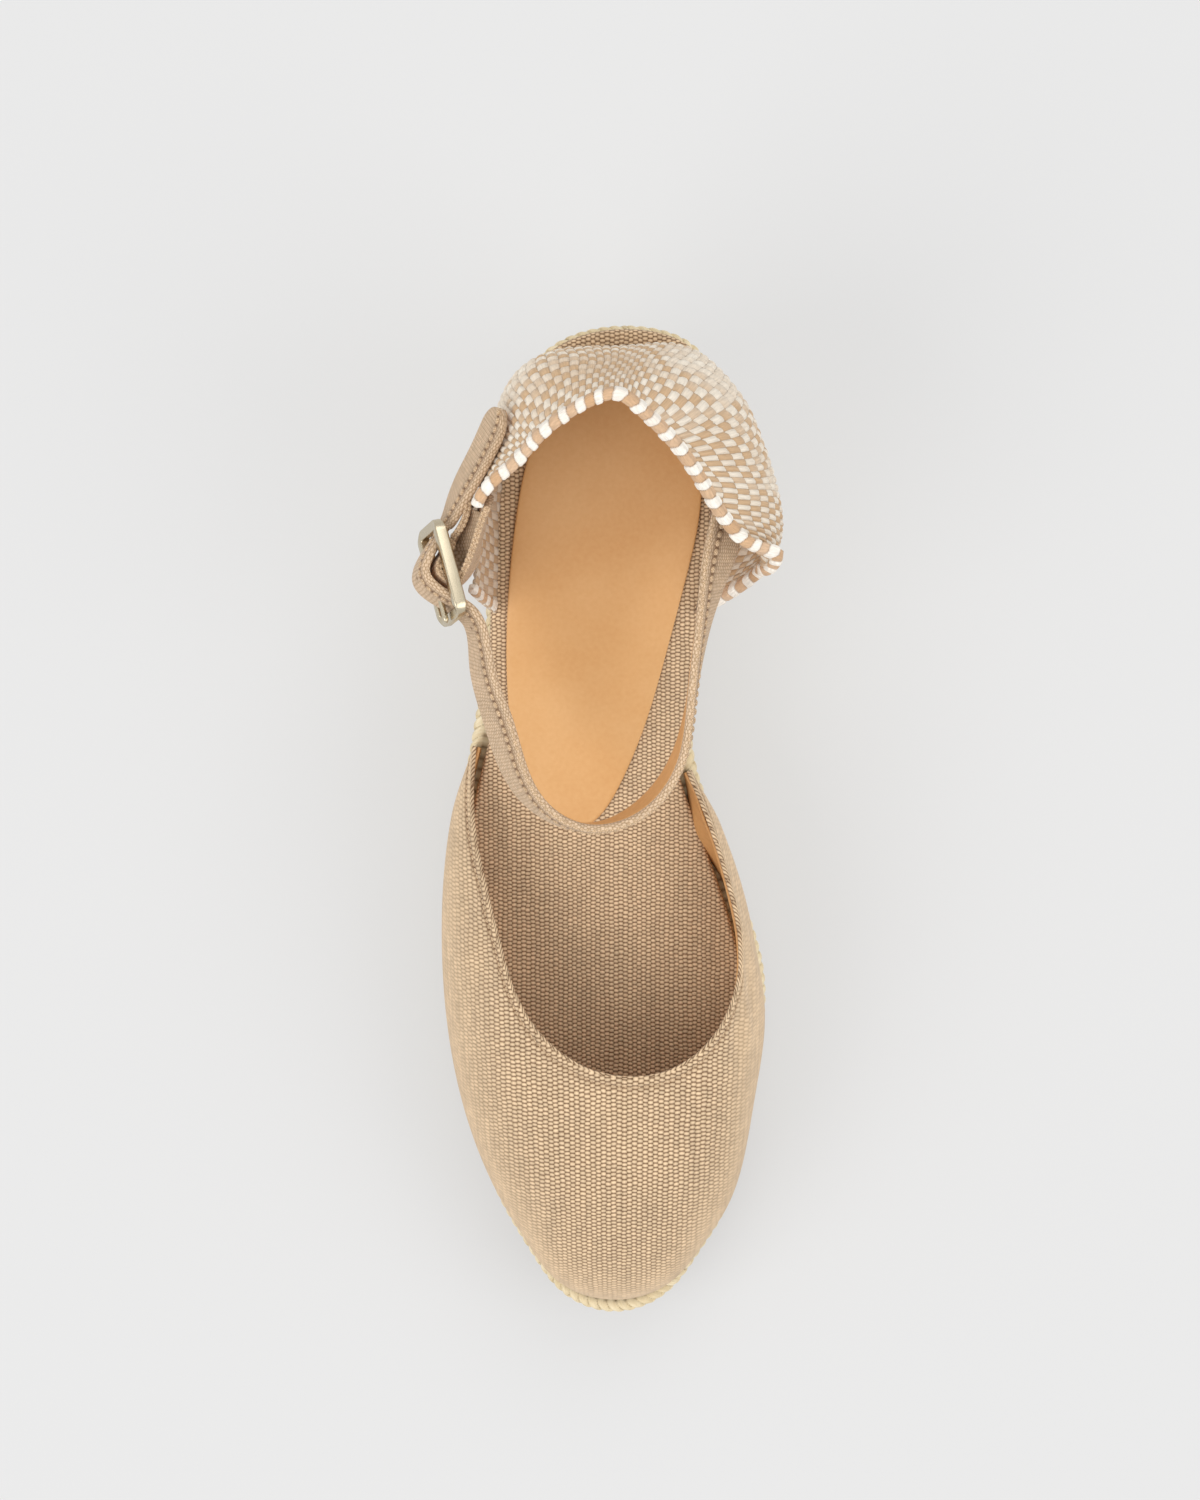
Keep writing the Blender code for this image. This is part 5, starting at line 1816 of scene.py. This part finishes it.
@dataclass
class Ribbon:
    """Flat strip of folded canvas along a smooth curve, with a round tip."""

    points: Array
    widths: Array
    width: float
    thick: float
    steps: int = 420
    seam_shade: float = 0.9
    seam_wide: float = 1.2
    hole_size: tuple = (0.5, 0.6)
    far_face: float = 0.4

    def __post_init__(self) -> None:
        """Works out the middle line, its directions and the narrowing at the tip.

        The line is a spline through the points, and its face looks along the cross product of width and run.
        The tip is a half circle: cos(bow) of the width at sin(bow) of half a width along.
        """
        knots = run_length(self.points)
        half = self.width / 2
        bow = np.linspace(0, math.pi / 2, 16)[1:-1]
        tip = knots[-1] - half
        places = np.concatenate([np.linspace(0, tip, self.steps), tip + half * np.sin(bow)])
        self.narrow = np.concatenate([np.ones(self.steps), np.cos(bow)])
        self.places = places
        self.path = spline(knots, self.points, places)
        run = unit(np.gradient(self.path, places, axis=0))
        self.face = unit(np.cross(spline(knots, self.widths, places), run))
        self.across = np.cross(run, self.face)

    def strip(
        self,
        low: float,
        high: float,
        inner: float,
        outer: float,
        edge: float,
        sewn: float | None = None,
        holes: Sequence[float] = (),
    ) -> list[Patch]:
        """Closed strip: a superellipse section from low to high across, and inner to outer of the face.

        Args:
            low: mm across of one edge.
            high: mm across of the other edge.
            inner: mm along the face's direction of the near face.
            outer: mm along it of the far face.
            edge: power of the section; small is square.
            sewn: mm across of a seam's shade on the far face, or None.
            holes: mm along of pinholes, painted as spots of shade in the middle of the far face.

        Returns:
            Patches of the strip and its ends.
        """
        angle = np.linspace(0, 2 * math.pi, 721)
        size = np.array([(high - low) / 2, (outer - inner) / 2])
        outline = squared(np.stack([np.cos(angle), np.sin(angle)], 1), edge) * size
        w, n = (read_along(outline, np.linspace(0, run_length(outline)[-1], 65)[:-1]) / size).T
        level = (low + high) / 2 + w * size[0]
        side = level * self.narrow[:, None]
        out = (inner + outer) / 2 + n * size[1]
        grid = self.path[:, None] + self.across[:, None] * side[..., None]
        grid = grid + self.face[:, None] * out[None, :, None]
        turn = run_length(looped(grid, 1), axis=1)
        cloth = np.stack([self.places[:, None] + 0 * turn, turn], -1)
        dark = 0 * side
        # Painted shade along the seam on the far face.
        if sewn is not None:
            dark = dark + self.seam_shade * hill(level, sewn, self.seam_wide) * (n > self.far_face)
        # Pinholes are painted spots of shade; no hole is cut.
        long, wide = self.hole_size
        for hole in holes:
            spot = hill(self.places[:, None], hole, long) * hill(side, 0.0, wide)
            dark = dark + spot * (n > self.far_face)
        marks = {Mark.PAINTED_SHADE: looped(np.clip(dark, 0, 1), 1)}
        return [Patch(looped(grid, 1), cloth, marks), closing(grid[0]), closing(grid[-1])]

    def row(self, across: float, out: float, upwards: float = 0.0) -> tuple[Array, Array]:
        """Line along the strip at a place across it, and the normals there.

        Args:
            across: mm across.
            out: mm along the face's direction.
            upwards: share of the width's direction in the normal, for a row on the upper edge.

        Returns:
            Points and normals.
        """
        points = self.path + self.across * (across * self.narrow)[:, None] + self.face * out
        return points, unit(self.face * np.sign(out) * (1 - upwards) + self.across * upwards)


@dataclass
class AnkleStrap:
    """Canvas strap round the ankle with a leather lining, and the tab that holds the buckle."""

    buckle: Buckle
    counter: HeelCounter
    width: float = 12.0
    thick: float = 2.2
    square: float = 0.4
    lining: float = 9.2
    lining_out: tuple = (0.12, 0.3)
    lining_square: float = 0.5
    ring_row: float = 3.3
    ring_pitch: float = 2.15
    ring_half: tuple = (0.86, 0.82, 0.5)
    hole_pitch: float = 9.0
    edge_beads_to: float = 128.0
    edge_row: tuple = (5.75, 0.45, 0.85)
    edge_pitch: float = 1.45
    edge_half: tuple = (0.62, 0.5, 0.34)
    tab_thick: float = 1.8
    tab_row: float = 5.95
    tab_out: float = 0.45
    tab_up: float = 0.9
    tab_pitch: float = 1.4
    tab_half: tuple = (0.62, 0.46, 0.42)
    turn_low: float = -2.0
    turn_clear: float = 6.0
    turn_ends: tuple = (3.0, 2.0)
    turn_shade: float = 0.25
    turn_thick: float = 0.5
    stations: tuple = (
        (44.0, 31.5, 106.0, 40.0), (54.0, 29.0, 104.0, 38.0), (69.5, 25.3, 101.0, 15.0),
        (90.5, 21.8, 97.5, 0.0), (104.9, 18.6, 94.5, -12.0), (116.8, 9.6, 92.5, -14.0),
        (121.1, -3.6, 92.0, 0.0), (113.7, -16.7, 92.8, 18.0), (95.3, -24.4, 95.0, 30.0),
        (83.5, -27.9, 97.6, 24.0),
    )
    tail: tuple = ((43.0, -34.0, 101.2, 22.0), (34.5, -29.3, 104.2, 27.0), (22.0, -23.3, 108.6, 30.0))
    through: tuple = ((-11.3, -3.8), (-5.6, 1.8), (0.0, 5.2), (5.6, 1.8), (11.3, -3.8))
    tab_fold: tuple = (
        (-3.6, 0.4, -1.2), (-3.0, 0.1, 0.3), (-1.9, 0.0, 1.3), (-0.3, 0.0, 2.1), (1.5, 0.0, 1.6),
        (3.6, 0.0, -0.7), (6.4, 0.0, -3.9),
    )
    tab_inner: tuple = (
        (0.172, 0.81, -3.3), (0.135, 0.81, -2.6), (0.10, 0.80, -1.6), (0.06, 0.77, -0.2), (0.03, 0.745, 0.9),
    )
    tab_outer: tuple = ((0.105, 0.64, 3.4), (0.14, 0.67, 1.6), (0.17, 0.69, 1.5))

    @staticmethod
    def leaning(stations: Sequence) -> tuple[Array, Array]:
        """Points of strap stations, and the directions of its width, leaning towards the ankle.

        The width's direction is up cos(lean) + (run x up) sin(lean), with up square to the run.

        Args:
            stations: rows of along, across, height and lean in degrees.

        Returns:
            Points and directions.
        """
        table = np.array(stations)
        points = place(table[:, 0], table[:, 1], table[:, 2])
        run = unit(np.gradient(points, axis=0))
        up = unit(np.array([0, 0, 1.0]) - run * run[:, 2:])
        lean = np.radians(table[:, 3])[:, None]
        return points, up * np.cos(lean) + np.cross(run, up) * np.sin(lean)

    def strap(self) -> Ribbon:
        """Strip from inside the counter, round the ankle, through the buckle and back outside it.

        Returns:
            The strip, from its end in the counter.
        """
        before, before_width = self.leaning(self.stations)
        after, after_width = self.leaning(self.tail)
        table = np.array(self.through)
        middle = self.buckle.points(table[:, 0], 0, table[:, 1])
        upright = np.tile(self.buckle.axes()[1], (len(middle), 1))
        points = np.vstack([before, middle, after])
        return Ribbon(points, np.vstack([before_width, upright, after_width]), self.width, self.thick)

    def tab(self) -> Ribbon:
        """Strip along the edge of the counter's wing, folded round the buckle's bar and back outside it.

        Returns:
            The strip, from its end on the wing.
        """
        legs = self.tab_inner, self.tab_outer
        inner, outer = ([self.counter.spot(*station) for station in leg] for leg in legs)
        table = np.array(self.tab_fold)
        upward = self.buckle.axes()[1]
        fold = [(point, upward) for point in self.buckle.points(*table.T)]
        points, widths = (np.array(column) for column in zip(*(inner + fold + outer)))
        return Ribbon(points, widths, self.width, self.tab_thick, 220)

    def buckle_place(self, strap: Ribbon) -> float:
        """Length along the strap at the buckle's bar."""
        away = np.linalg.norm(strap.path - self.buckle.points(0.0, 0.0, self.through[2][1]), axis=1)
        return float(strap.places[np.argmin(away)])

    def fold_shade_sheet(self, tab: Ribbon) -> list[Patch]:
        """Canvas sheet low between the tab's two legs, which keeps the fold shut: a dark sheet that stands
        for the shade there.

        Its points are (1 - s) a + s b with a on the inner leg and b on the outer one, at equal shares of both
        from the bar towards the wing, moved across by -turn_low; a second layer below closes it.

        Args:
            tab: the tab's strip.

        Returns:
            Patches of the layer and its ends.
        """
        bar = self.buckle_place(tab)
        first, last = self.turn_ends[0], tab.places[-1] - self.turn_ends[1]
        both = np.linspace(bar - self.turn_clear, first, 24), np.linspace(bar + self.turn_clear, last, 24)
        low = tab.path - tab.across * self.turn_low
        inner, outer = (read_rows(places, tab.places, low)[:, None] for places in both)
        across = np.linspace(0, 1, 7)[None, :, None]
        sheet = inner * (1 - across) + outer * across
        grid = np.concatenate([sheet, sheet[:, ::-1] - (0, 0, self.turn_thick)], axis=1)
        # Painted shade over the whole sheet.
        return tube(grid, grid[..., 1:], {Mark.PAINTED_SHADE: np.full(grid.shape[:2], self.turn_shade)})

    def build_strap(self) -> None:
        """Strap with its lining, a row of rings on its face and beads on its upper edge up to the buckle."""
        strap = self.strap()
        side, half = self.width / 2, self.thick / 2
        # Pinholes by the buckle, painted as spots of shade.
        holes = self.buckle_place(strap) + self.hole_pitch * np.arange(-2, 2)
        cover = strap.strip(-side, side, -half, half, self.square, self.ring_row, holes)
        add_piece("strap_canvas", cover, STRAP_CANVAS, ["ankle_strap"])
        proud, deep = self.lining_out
        reach = self.lining / 2
        lining = strap.strip(-reach, reach, -half - proud, deep - half, self.lining_square)
        add_piece("strap_lining", lining, LINING_LEATHER)
        beads = stitch_row(*strap.row(self.ring_row, half - 0.02), self.ring_pitch, self.ring_half)
        before = strap.places < self.edge_beads_to
        points, normals = strap.row(*self.edge_row)
        beads += stitch_row(points[before], normals[before], self.edge_pitch, self.edge_half)
        add_piece("strap_stitches", beads, STITCH_CANVAS)

    def build_tab(self) -> None:
        """Tab with two rows of beads along its upper edge."""
        tab = self.tab()
        side, half = self.width / 2, self.tab_thick / 2
        cover = tab.strip(-side, side, -half, half, self.square) + self.fold_shade_sheet(tab)
        add_piece("tab_canvas", cover, STRAP_CANVAS, ["buckle_tab"])
        beads = []
        for out in (-self.tab_out, self.tab_out):
            beads += stitch_row(*tab.row(self.tab_row, out, self.tab_up), self.tab_pitch, self.tab_half)
        add_piece("tab_stitches", beads, STITCH_CANVAS)

    def build(self) -> None:
        """Strap and tab."""
        self.build_strap()
        self.build_tab()


@dataclass
class Studio:
    """Plain pale floor, soft studio light and the camera straight above the shoe."""

    camera_at: tuple = (0.0, 0.0189, 1.6)
    lens: float = 151.3
    sensor: float = 36.0
    floor: float = 6.0
    key: float = 15.0
    sky: float = 0.78
    near: float = 0.02
    aim: tuple = (0.0, 0.0, 0.05)
    lights: tuple = (
        ("key softbox", (-1.1, -0.7, 1.5), 1.3, 1.0),
        ("side softbox", (1.2, -0.4, 1.4), 1.2, 0.55),
        ("back softbox", (0.4, 1.2, 1.6), 1.2, 0.5),
    )

    def build(self) -> None:
        """Camera, lights, world and floor."""
        scene = bpy.context.scene
        data = bpy.data.cameras.new("overhead camera")
        data.lens = self.lens
        data.sensor_fit = "VERTICAL"
        data.sensor_height = self.sensor
        data.clip_start = self.near
        camera = bpy.data.objects.new("overhead camera", data)
        camera.location = self.camera_at
        scene.collection.objects.link(camera)
        scene.camera = camera
        scene.view_settings.view_transform = "Standard"
        for name, at, size, share in self.lights:
            self.add_light(name, at, size, self.key * share)
        world = bpy.data.worlds.new("studio")
        scene.world = world
        world.use_nodes = True
        inputs = world.node_tree.nodes["Background"].inputs
        inputs["Color"].default_value = (1.0, 1.0, 1.0, 1.0)
        inputs["Strength"].default_value = self.sky
        mesh = bpy.data.meshes.new("studio_floor")
        corners = np.array([(-1, -1, 0), (1, -1, 0), (1, 1, 0), (-1, 1, 0)]) * self.floor / 2
        mesh.from_pydata(corners.tolist(), [], [(0, 1, 2, 3)])
        mesh.materials.append(PAPER.material())
        floor = bpy.data.objects.new("studio_floor", mesh)
        scene.collection.objects.link(floor)

    def add_light(self, name: str, at: tuple[float, float, float], size: float, power: float) -> None:
        """Square softbox that looks at the shoe.

        Args:
            name: name of the light.
            at: place in metres.
            size: side in metres.
            power: watts.
        """
        data = bpy.data.lights.new(name, "AREA")
        data.size = size
        data.energy = power
        light = bpy.data.objects.new(name, data)
        light.location = at
        aim = np.array(at) - self.aim
        flat = math.hypot(aim[0], aim[1])
        light.rotation_euler = (math.atan2(flat, aim[2]), 0, math.atan2(aim[1], aim[0]) + math.pi / 2)
        bpy.context.scene.collection.objects.link(light)


def main() -> None:
    """Builds the studio and every sub-assembly of the shoe."""
    logging.basicConfig(level=logging.INFO, format="%(name)s: %(message)s")
    Studio().build()
    Sole().build()
    Insole().build()
    Vamp().build()
    counter = HeelCounter()
    counter.build()
    buckle = Buckle()
    AnkleStrap(buckle, counter).build()
    buckle.build()


if __name__ == "__main__":
    main()
